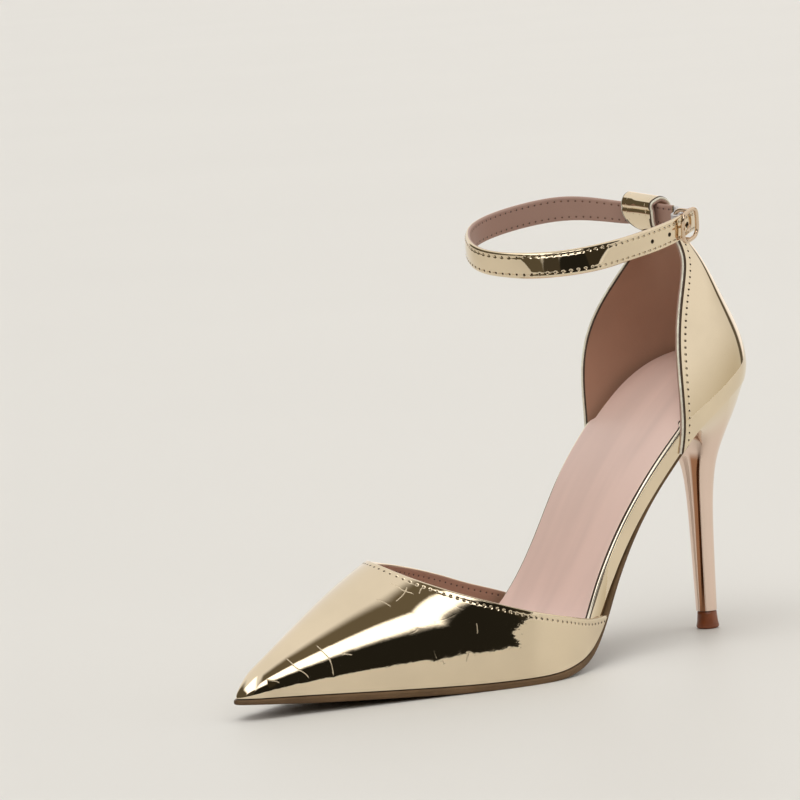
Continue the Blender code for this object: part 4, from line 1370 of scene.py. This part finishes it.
def make_lift():
    """Brown lift under the heel, turned from a profile."""
    profile = []
    for turn in np.linspace(0, math.pi / 2, 6):
        inwards = TIP_CORNER * (1 - math.sin(turn))
        profile.append((TIP_BASE_RADIUS - inwards, TIP_CORNER * (1 - math.cos(turn))))
    profile += TIP_SIDE
    angle = np.linspace(0, 2 * math.pi, TIP_SIDES, endpoint=False)
    rings = [np.stack([r * np.cos(angle), r * np.sin(angle), 0 * angle + z], axis=-1) for r, z in profile]
    lift = Shell()
    lift.rings(np.stack(rings), 0)
    brown = moulded("brown_lift", bpy.context.scene.pump_colours.lift, 0.38, 0.02, 0.3)
    settle(lift.build("heel_lift_turned", [brown]), "heel_lift", "heel_tip")


def make_heel():
    """Plated heel with a brown stripe on its breast, and the lift under it."""
    colours = bpy.context.scene.pump_colours
    rings = heel_rings(*HEEL_STEPS)
    share = np.broadcast_to(np.linspace(0, 100, len(rings))[:, None], rings.shape[:2])
    angle = np.linspace(0, 2 * math.pi, rings.shape[1], endpoint=False)
    from_breast = 100 * np.cos(angle - HEEL_STRIPE) + 0 * share
    heel = Shell()
    heel.rings(rings, 0, np.stack([from_breast, share], axis=-1))
    rose = plating("heel_rose_gold", colours.plating, colours.gold, colours.breast)
    settle(heel.build("heel_plated", [rose], HEEL_SHARP), "heel_plating", "heel")
    make_lift()


def strap_rings(places, crown):
    """Return the strap's rings and the seam map of its faces, at places along its path."""
    points, ups, outwards = strap_section(places)
    widths = strap_width(places)
    crowns = crown * (1 - STRAP_LEAN_FLATTENING * strap_turn(places))
    lengths = run_length(points)
    rings, seams = [], []
    for point, up, outward, width, crowned, length in zip(points, ups, outwards, widths, crowns, lengths):
        section = band_profile(width, STRAP_THICK, crowned)
        rings.append([point + up * across + outward * out for across, out, _ in section])
        seams.append([(length, width / 2 - abs(across)) for across, _, _ in section])
    finish = np.array([inside for _, _, inside in section])
    return np.array(rings), np.array(seams), finish


def punch(piece, holes):
    """Cut round holes through a piece, each given by its middle, direction and radius in millimetres."""
    bm = bmesh.new()
    for middle, direction, radius in holes:
        turned = Vector(direction).to_track_quat("Z", "Y").to_matrix().to_4x4()
        bmesh.ops.create_cone(
            bm, cap_ends=True, segments=24, radius1=radius * MM, radius2=radius * MM, depth=PUNCH_LENGTH * MM,
            matrix=Matrix.Translation(to_world(middle)) @ turned)
    for face in bm.faces:
        face.material_index = len(piece.data.materials) - 1
    cutter_mesh = bpy.data.meshes.new("punch")
    bm.to_mesh(cutter_mesh)
    bm.free()
    for material in piece.data.materials:
        cutter_mesh.materials.append(material)
    cutter = bpy.data.objects.new("punch", cutter_mesh)
    for shape in (cutter, piece):
        bpy.context.scene.collection.objects.link(shape)
    cut = piece.modifiers.new("holes", "BOOLEAN")
    cut.operation = "DIFFERENCE"
    cut.object = cutter
    freeze(piece)
    bpy.data.objects.remove(cutter)


def make_strap():
    """Ankle strap: crowned gold band, pink lining, prong hole and spare holes, the holes' walls in painted
    shade.
    """
    sizes = bpy.context.scene.pump_sizes
    colours = bpy.context.scene.pump_colours
    places = np.linspace(0, STRAP_LAST, STRAP_STEPS)
    rings, seams, inside = strap_rings(places, sizes.strap_crown / MM)
    shell = Shell()
    shell.rings(rings, np.broadcast_to(inside, (len(rings) - 1, len(inside))), seams)
    spacing = sizes.stitch_spacing * STRAP_STITCHING / MM
    gold = gold_leather("strap_gold", spacing, STRAP_SEAM, wavy=2.2)
    pink = lining_leather("strap_lining", colours.lining, 0.5, 0.3, spacing, STRAP_SEAM)
    # The walls of the punched holes are painted in near black shade
    hole_shade = moulded("punched_hole_shade", colours.painted_shade, 0.6, 0.03, 0.0)
    strap = shell.build("strap_leather", [gold, pink, hole_shade])
    holes = []
    for at, radius in [(BUCKLE_PLACE, PRONG_HOLE)] + [(at, STRAP_HOLE_RADIUS) for at in STRAP_HOLES]:
        point, _, outward = strap_frame(at)
        holes.append((point, outward, radius))
    punch(strap, holes)
    settle(strap, "gold_leather", "ankle_strap")


def bar_centre():
    """Return the middle of the buckle's bar, which lies inside the strap."""
    point, _, outward = strap_frame(BUCKLE_PLACE)
    return point - outward * (STRAP_THICK / 2 + GAP + ELASTIC_THICK + GAP + BAR_WIRE)


def make_ring(metal):
    """Buckle frame of bent wire, with the bar that runs inside the strap."""
    point, along, outward = strap_frame(BUCKLE_PLACE)
    centre = bar_centre()
    middle = point + outward * (STRAP_THICK / 2 + GAP + BUCKLE_WIRE)
    half_long = BUCKLE_LENGTH / 2 - BUCKLE_WIRE
    half_high = BUCKLE_HEIGHT / 2 - BUCKLE_WIRE
    ring = []
    for angle in np.linspace(0, 2 * math.pi, BUCKLE_STEPS, endpoint=False):
        turn, rise = math.cos(angle), math.sin(angle)
        forward = half_long * math.copysign(abs(turn) ** BUCKLE_SQUARENESS, turn)
        upward = half_high * math.copysign(abs(rise) ** BUCKLE_SQUARENESS, rise)
        ring.append(middle + along * forward + STRAP_UP * upward)
    rings = wire_rings(ring, BUCKLE_WIRE, True)
    buckle = Shell()
    buckle.grid(np.concatenate([rings, rings[:1]]), 0, closed=True)
    beside = strap_width(BUCKLE_PLACE) / 2 + GAP + BAR_WIRE
    bar = []
    for end in (-1, 1):
        half = [
            middle + STRAP_UP * end * half_high,
            point + STRAP_UP * end * beside,
            centre + STRAP_UP * end * (beside - BAR_CORNER) + outward * 2 * BAR_CORNER,
            centre + STRAP_UP * end * (beside - 3 * BAR_CORNER),
        ]
        bar += half if end < 0 else half[::-1]
    buckle.rings(wire_rings(through(bar, WIRE_STEPS), BAR_WIRE, False, 16), 0)
    settle(buckle.build("buckle_ring", [metal]), "buckle_plating", "buckle_frame")


def make_prong(metal):
    """Prong from the bar through the strap's hole and over the frame."""
    point, along, outward = strap_frame(BUCKLE_PLACE)
    root = (bar_centre() - point) @ outward + BAR_WIRE + GAP + PRONG_WIRE
    skim = STRAP_THICK / 2 + GAP + PRONG_WIRE
    over_frame = STRAP_THICK / 2 + GAP + 2 * BUCKLE_WIRE + GAP + PRONG_WIRE
    front = BUCKLE_LENGTH / 2
    # The prong's middle line: forward of the bar, outward of the strap's middle
    steps = (
        (0.0, root), (0.0, skim - 0.9), (0.5, skim + 0.1), (1.6, skim + 0.6),
        (front - 2 * BUCKLE_WIRE - 1.0, over_frame - 0.2), (front - BUCKLE_WIRE, over_frame + 0.2),
        (front, over_frame + 0.1),
    )
    route = through([point + along * forward + outward * out for forward, out in steps], WIRE_STEPS)
    near_end = smoothstep(PRONG_TAPER_START, 1.0, np.linspace(0, 1, WIRE_STEPS))
    prong = Shell()
    prong.rings(wire_rings(route, PRONG_WIRE * (1 - PRONG_TAPER * near_end), False, 14), 0)
    settle(prong.build("buckle_tongue", [metal]), "buckle_plating", "buckle_prong")


def make_elastic():
    """Woven elastic from the strap's short end round the buckle's bar."""
    _, along, outward = strap_frame(BUCKLE_PLACE)
    centre = bar_centre()
    end, leaving, _ = strap_frame(STRAP_LAST)
    start = end + leaving * GAP
    turn = BAR_WIRE + GAP + ELASTIC_THICK / 2
    approach = centre - along * ELASTIC_APPROACH - outward * turn
    points = [start, start + leaving * ELASTIC_LEAD]
    points += [points[-1] + (approach - points[-1]) * share for share in (0.3, 0.6, 1.0)]
    for angle in np.linspace(0, math.pi, 9):
        points.append(centre + (along * math.sin(angle) - outward * math.cos(angle)) * turn)
    points.append(points[-1] - along * ELASTIC_TAIL)
    line = through(points, 90)
    outwards = unit(np.cross(STRAP_UP, np.gradient(line, axis=0)))
    lengths = run_length(line)
    section = band_profile(ELASTIC_WIDTH, ELASTIC_THICK, ELASTIC_CROWN)
    rings = []
    for point, out in zip(line, outwards):
        rings.append([point + STRAP_UP * across + out * high for across, high, _ in section])
    seams = [[(length, across) for across, _, _ in section] for length in lengths]
    shell = Shell()
    shell.rings(np.array(rings), 0, np.array(seams))
    white = woven_elastic("white_elastic_weave")
    band = shell.build("elastic_band", [white])
    punch(band, [(centre + outward * turn, outward, PRONG_HOLE)])
    settle(band, "elastic", "buckle_elastic")


def make_buckle():
    """Buckle frame with its bar, the prong and the woven elastic that holds them."""
    metal = plating("buckle_rose_gold", bpy.context.scene.pump_colours.buckle)
    make_ring(metal)
    make_prong(metal)
    make_elastic()


def stitch_tree():
    """Return a node tree that lays stitches along the edges of a mesh, lifted along its own normals."""
    tree = bpy.data.node_groups.new("stitch_row", "GeometryNodeTree")
    face = tree.interface
    face.new_socket(name="Geometry", in_out="INPUT", socket_type="NodeSocketGeometry")
    for name in ("Spacing", "Length", "Width"):
        face.new_socket(name=name, in_out="INPUT", socket_type="NodeSocketFloat")
    face.new_socket(name="Thread", in_out="INPUT", socket_type="NodeSocketMaterial")
    face.new_socket(name="Geometry", in_out="OUTPUT", socket_type="NodeSocketGeometry")
    given = tree.nodes.new("NodeGroupInput").outputs
    line = add_node(tree, "GeometryNodeMeshToCurve", {"Mesh": given["Geometry"]}).outputs["Curve"]
    even = add_node(
        tree, "GeometryNodeResampleCurve", {"Curve": line, "Length": given["Spacing"]}, mode="LENGTH")
    bead = add_node(tree, "GeometryNodeMeshUVSphere", {"Segments": 8, "Rings": 6, "Radius": 0.5})
    width = given["Width"]
    size = add_node(tree, "ShaderNodeCombineXYZ", {"X": given["Length"], "Y": width, "Z": width})
    stitch = add_node(
        tree, "GeometryNodeTransform", {"Geometry": bead.outputs["Mesh"], "Scale": size.outputs["Vector"]})
    lift = add_node(tree, "GeometryNodeInputNamedAttribute", {"Name": "lift"}, data_type="FLOAT_VECTOR")
    along = tree.nodes.new("GeometryNodeInputTangent").outputs["Tangent"]
    turn = add_node(
        tree, "FunctionNodeAxesToRotation",
        {"Primary Axis": along, "Secondary Axis": lift.outputs["Attribute"]},
        primary_axis="X", secondary_axis="Z")
    laid = add_node(tree, "GeometryNodeInstanceOnPoints", {
        "Points": even.outputs["Curve"],
        "Instance": stitch.outputs["Geometry"],
        "Rotation": turn.outputs["Rotation"],
    })
    real = add_node(tree, "GeometryNodeRealizeInstances", {"Geometry": laid.outputs["Instances"]})
    smooth = add_node(tree, "GeometryNodeSetShadeSmooth", {"Geometry": real.outputs["Geometry"]})
    sewn = add_node(tree, "GeometryNodeSetMaterial", {
        "Geometry": smooth.outputs["Geometry"], "Material": given["Thread"]})
    tree.links.new(sewn.outputs["Geometry"], tree.nodes.new("NodeGroupOutput").inputs["Geometry"])
    return tree


def sew(name, tree, rows, spacing, slot, thread):
    """Make one piece of stitches along rows of points with their normals, all in millimetres."""
    sizes = bpy.context.scene.pump_sizes
    points, edges, lifts = [], [], []
    for line, normals in rows:
        first = len(points)
        points += to_world(line).tolist()
        lifts += np.asarray(normals).tolist()
        edges += [(first + i, first + i + 1) for i in range(len(line) - 1)]
    guide = bpy.data.meshes.new(name + "_guide")
    guide.from_pydata(points, edges, [])
    guide.attributes.new("lift", "FLOAT_VECTOR", "POINT").data.foreach_set("vector", np.array(lifts).ravel())
    piece = bpy.data.objects.new(name, guide)
    bpy.context.scene.collection.objects.link(piece)
    sewing = piece.modifiers.new("stitches", "NODES")
    sewing.node_group = tree
    values = {
        "Spacing": spacing * MM,
        "Length": sizes.stitch_length,
        "Width": sizes.thread_width,
        "Thread": thread,
    }
    for item in tree.interface.items_tree:
        if item.in_out == "INPUT" and item.name in values:
            sewing[item.identifier] = values[item.name]
    freeze(piece)
    bpy.data.meshes.remove(guide)
    settle(piece, slot)


def inside_edge(grid, normals, distance, inset, rise):
    """Return the line of points at a distance from the first column of a grid, with its normals."""
    line, lifts = [], []
    for points, directions, gaps in zip(grid, normals, distance):
        line.append([np.interp(inset, gaps, points[:, axis]) for axis in range(3)])
        lifts.append([np.interp(inset, gaps, directions[:, axis]) for axis in range(3)])
    lifts = unit(np.array(lifts))
    return np.array(line) + lifts * rise, lifts


def shifted(line, lifts, by):
    """Return a line and its normals without the first stretch, so that stitches lie between needle holes."""
    length = run_length(line)
    keep = length >= by
    return line[keep], lifts[keep]


def vamp_stitch_rows(inset, start):
    """Return the stitch row inside the vamp's top edge."""
    outer = vamp_grid(*VAMP_STEPS)[:, VAMP_SEAM_COLUMNS]
    normals = vamp_normals(outer)
    distance, _, _ = from_line(outer, outer[:, 0])
    distance = np.maximum.accumulate(distance, axis=1)
    row = inside_edge(outer[2:-2], normals[2:-2], distance[2:-2], inset, -STITCH_DEPTH)
    return [shifted(*row, start)]


def counter_stitch_rows(start):
    """Return the stitch rows inside the counter's front edges and the one across its tab."""
    outer = counter_grid(*COUNTER_STEPS)
    normals = counter_normals(outer)
    rows = [shifted(*row, start) for row in side_lines(outer, normals, COUNTER_SEAM, -STITCH_DEPTH)]
    across = np.argmin(np.abs(fold_length(outer) - TAB_STITCH_ROW))
    middle = slice(COUNTER_SEAM_COLUMNS, -COUNTER_SEAM_COLUMNS)
    lifts = normals[across, middle]
    rows.append((outer[across, middle] - STITCH_DEPTH * lifts, lifts))
    return rows


def strap_stitch_rows(face, start):
    """Return the stitch rows along the strap's edges, on its outer face for 1 and its inner face for -1."""
    places = np.linspace(STRAP_STITCH_START, STRAP_LAST - STRAP_STITCH_MARGIN, STRAP_STITCH_STEPS)
    points, ups, outwards = strap_section(places)
    widths = strap_width(places)[:, None]
    rows = []
    for side in (1, -1):
        across = ups * side * (widths / 2 - STRAP_SEAM)
        line = points + across + outwards * face * (STRAP_THICK / 2 - STRAP_STITCH_DEPTH)
        rows.append(shifted(line, outwards * face, start))
    return rows


def make_stitches():
    """Stitch rows of the vamp's top edge, the counter's edges and the strap."""
    sizes = bpy.context.scene.pump_sizes
    colours = bpy.context.scene.pump_colours
    tree = stitch_tree()
    gold = sewing_thread("gold_thread", colours.thread)
    # Darker thread on the lining side: painted shade on the stitches
    brown = sewing_thread("lining_thread_shade", colours.lift)
    spacing = sizes.stitch_spacing / MM
    half = spacing / 2
    rows = vamp_stitch_rows(sizes.seam_inset / MM, half)
    sew("vamp_stitches", tree, rows, spacing, "gold_leather", gold)
    rows = counter_stitch_rows(half)
    sew("counter_stitches", tree, rows, spacing * COUNTER_STITCHING, "gold_leather", gold)
    rows = strap_stitch_rows(1, half)
    sew("strap_stitches", tree, rows, spacing * STRAP_STITCHING, "gold_leather", gold)
    rows = strap_stitch_rows(-1, half)
    sew("strap_lining_stitches", tree, rows, spacing * STRAP_STITCHING, "lining", brown)


def studio_direction(tree):
    """Return the azimuth and the elevation in degrees of a world direction."""
    parts = axes(tree, add_node(tree, "ShaderNodeTexCoord", {}).outputs["Generated"])
    azimuth = maths(tree, "DEGREES", maths(tree, "ARCTAN2", parts["Y"], parts["X"]))
    return azimuth, maths(tree, "DEGREES", maths(tree, "ARCSINE", parts["Z"]))


def make_world():
    """Studio room: pale walls, with the patches of light and dark that the mirror finishes show."""
    world = bpy.data.worlds.new("studio")
    world.use_nodes = True
    tree = world.node_tree
    azimuth, elevation = studio_direction(tree)
    colour = shade(STUDIO_WALL, 1.0)
    for name, middle, height, half_wide, half_high, soft, square, light in STUDIO_PATCHES:
        turned = maths(tree, "WRAP", maths(tree, "SUBTRACT", azimuth, float(middle)), 180.0, -180.0)
        across = maths(tree, "ABSOLUTE", maths(tree, "DIVIDE", turned, float(half_wide)))
        upward = maths(tree, "SUBTRACT", elevation, float(height))
        upright = maths(tree, "ABSOLUTE", maths(tree, "DIVIDE", upward, float(half_high)))
        flat = maths(tree, "POWER", across, square)
        powers = maths(tree, "ADD", flat, maths(tree, "POWER", upright, square))
        reach = maths(tree, "POWER", powers, 1 / square)
        inside = ramp(tree, reach, 1 + soft, 1 - soft)
        inside.node.label = name
        colour = mix_colours(tree, inside, colour, (*light, 1.0))
    background = tree.nodes["Background"]
    tree.links.new(colour, background.inputs["Color"])
    background.inputs["Strength"].default_value = bpy.context.scene.pump_studio.room_light
    bpy.context.scene.world = world


def make_floor():
    """Pale floor that fills the view."""
    studio = bpy.context.scene.pump_studio
    bm = bmesh.new()
    bmesh.ops.create_grid(bm, x_segments=8, y_segments=8, size=FLOOR_HALF)
    mesh = bpy.data.meshes.new("studio_floor")
    bm.to_mesh(mesh)
    bm.free()
    material, tree, shader = new_finish("pale_floor", studio.floor, 0.5, Specular_IOR_Level=0.2)
    cloud = noise(tree, object_place(tree), 3.0, 2.0)
    tint = mix_colours(tree, cloud, shade(studio.floor, 0.985), shade(studio.floor, 1.015))
    tree.links.new(tint, shader.inputs["Base Color"])
    mesh.materials.append(material)
    floor = bpy.data.objects.new("studio_floor", mesh)
    bpy.context.scene.collection.objects.link(floor)


def make_key_light():
    """Soft light from over the toe that mirrors don't show."""
    lamp = bpy.data.lights.new("key_light", "SUN")
    lamp.angle = KEY_SPREAD
    lamp.energy = bpy.context.scene.pump_studio.key_light
    light = bpy.data.objects.new("key_light", lamp)
    place = Vector(KEY_PLACE)
    light.matrix_world = Matrix.Translation(place) @ place.to_track_quat("Z", "Y").to_matrix().to_4x4()
    light.visible_glossy = False
    bpy.context.scene.collection.objects.link(light)


def make_camera():
    """Camera at the photo's angle, with its long lens and its roll."""
    data = bpy.data.cameras.new("camera")
    data.lens = CAMERA_LENS
    data.sensor_width = CAMERA_SENSOR
    data.clip_end = 100.0
    azimuth, elevation, roll = (math.radians(a) for a in (CAMERA_AZIMUTH, CAMERA_ELEVATION, CAMERA_ROLL))
    right = Vector((-math.sin(azimuth), math.cos(azimuth), 0.0))
    back = Vector((math.cos(azimuth), math.sin(azimuth), 0.0)) * math.cos(elevation)
    back += Vector((0.0, 0.0, math.sin(elevation)))
    up = back.cross(right)
    across = right * math.cos(roll) + up * math.sin(roll)
    upright = up * math.cos(roll) - right * math.sin(roll)
    turned = Matrix((across, upright, back)).transposed().to_4x4()
    camera = bpy.data.objects.new("camera", data)
    camera.matrix_world = Matrix.Translation(to_world(CAMERA_PLACE)) @ turned
    bpy.context.scene.collection.objects.link(camera)
    bpy.context.scene.camera = camera


def make_stage():
    """Floor, light, room and camera."""
    bpy.context.scene.view_settings.view_transform = "Standard"
    make_floor()
    make_world()
    make_key_light()
    make_camera()


class MakeOutsole(bpy.types.Operator):
    """Make the outsole sheet with its painted edge"""

    bl_idname = "pump.make_outsole"
    bl_label = "Outsole"
    bl_options = {"REGISTER", "UNDO"}

    def execute(self, context):
        make_outsole()
        return {"FINISHED"}


class MakeInsole(bpy.types.Operator):
    """Make the wrapped insole board, its bead and the sock"""

    bl_idname = "pump.make_insole"
    bl_label = "Insole"
    bl_options = {"REGISTER", "UNDO"}

    def execute(self, context):
        make_insole()
        return {"FINISHED"}


class MakeVamp(bpy.types.Operator):
    """Make the creased gold vamp with its lining"""

    bl_idname = "pump.make_vamp"
    bl_label = "Vamp"
    bl_options = {"REGISTER", "UNDO"}

    def execute(self, context):
        make_vamp()
        return {"FINISHED"}


class MakeCounter(bpy.types.Operator):
    """Make the gold counter with its piped edge and folded tab"""

    bl_idname = "pump.make_counter"
    bl_label = "Counter"
    bl_options = {"REGISTER", "UNDO"}

    def execute(self, context):
        make_counter()
        return {"FINISHED"}


class MakeHeel(bpy.types.Operator):
    """Make the plated heel and its lift"""

    bl_idname = "pump.make_heel"
    bl_label = "Heel"
    bl_options = {"REGISTER", "UNDO"}

    def execute(self, context):
        make_heel()
        return {"FINISHED"}


class MakeStrap(bpy.types.Operator):
    """Make the ankle strap with its holes"""

    bl_idname = "pump.make_strap"
    bl_label = "Ankle strap"
    bl_options = {"REGISTER", "UNDO"}

    def execute(self, context):
        make_strap()
        return {"FINISHED"}


class MakeBuckle(bpy.types.Operator):
    """Make the buckle frame, the prong and the elastic"""

    bl_idname = "pump.make_buckle"
    bl_label = "Buckle"
    bl_options = {"REGISTER", "UNDO"}

    def execute(self, context):
        make_buckle()
        return {"FINISHED"}


class MakeStitches(bpy.types.Operator):
    """Sew the stitch rows of vamp, counter and strap"""

    bl_idname = "pump.make_stitches"
    bl_label = "Stitches"
    bl_options = {"REGISTER", "UNDO"}

    def execute(self, context):
        make_stitches()
        return {"FINISHED"}


class MakeStage(bpy.types.Operator):
    """Set up floor, light, room and camera"""

    bl_idname = "pump.make_stage"
    bl_label = "Stage"
    bl_options = {"REGISTER", "UNDO"}

    def execute(self, context):
        make_stage()
        return {"FINISHED"}


OPERATORS = (
    MakeOutsole, MakeInsole, MakeVamp, MakeCounter, MakeHeel, MakeStrap, MakeBuckle, MakeStitches, MakeStage,
)
GROUPS = {"pump_sizes": PumpSizes, "pump_colours": PumpColours, "pump_studio": PumpStudio}


class PumpPanel(bpy.types.Panel):
    """Lists the pump's settings and makers in the sidebar"""

    bl_idname = "VIEW3D_PT_pump"
    bl_label = "Stiletto pump"
    bl_space_type = "VIEW_3D"
    bl_region_type = "UI"
    bl_category = "Pump"

    def draw(self, context):
        for key, group in GROUPS.items():
            column = self.layout.box().column()
            for name in group.__annotations__:
                column.prop(getattr(context.scene, key), name)
        for operator in OPERATORS:
            self.layout.operator(operator.bl_idname)


def register():
    """Register the settings, the operators and the panel."""
    for entry in (*GROUPS.values(), *OPERATORS, PumpPanel):
        bpy.utils.register_class(entry)
    for key, group in GROUPS.items():
        setattr(bpy.types.Scene, key, PointerProperty(type=group))


def unregister():
    """Take everything out again."""
    for key in GROUPS:
        delattr(bpy.types.Scene, key)
    for entry in (PumpPanel, *reversed(OPERATORS), *reversed(tuple(GROUPS.values()))):
        bpy.utils.unregister_class(entry)


def main():
    """Register the add-on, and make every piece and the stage."""
    register()
    bpy.ops.pump.make_outsole()
    bpy.ops.pump.make_insole()
    bpy.ops.pump.make_vamp()
    bpy.ops.pump.make_counter()
    bpy.ops.pump.make_heel()
    bpy.ops.pump.make_strap()
    bpy.ops.pump.make_buckle()
    bpy.ops.pump.make_stitches()
    bpy.ops.pump.make_stage()


if __name__ == "__main__":
    main()
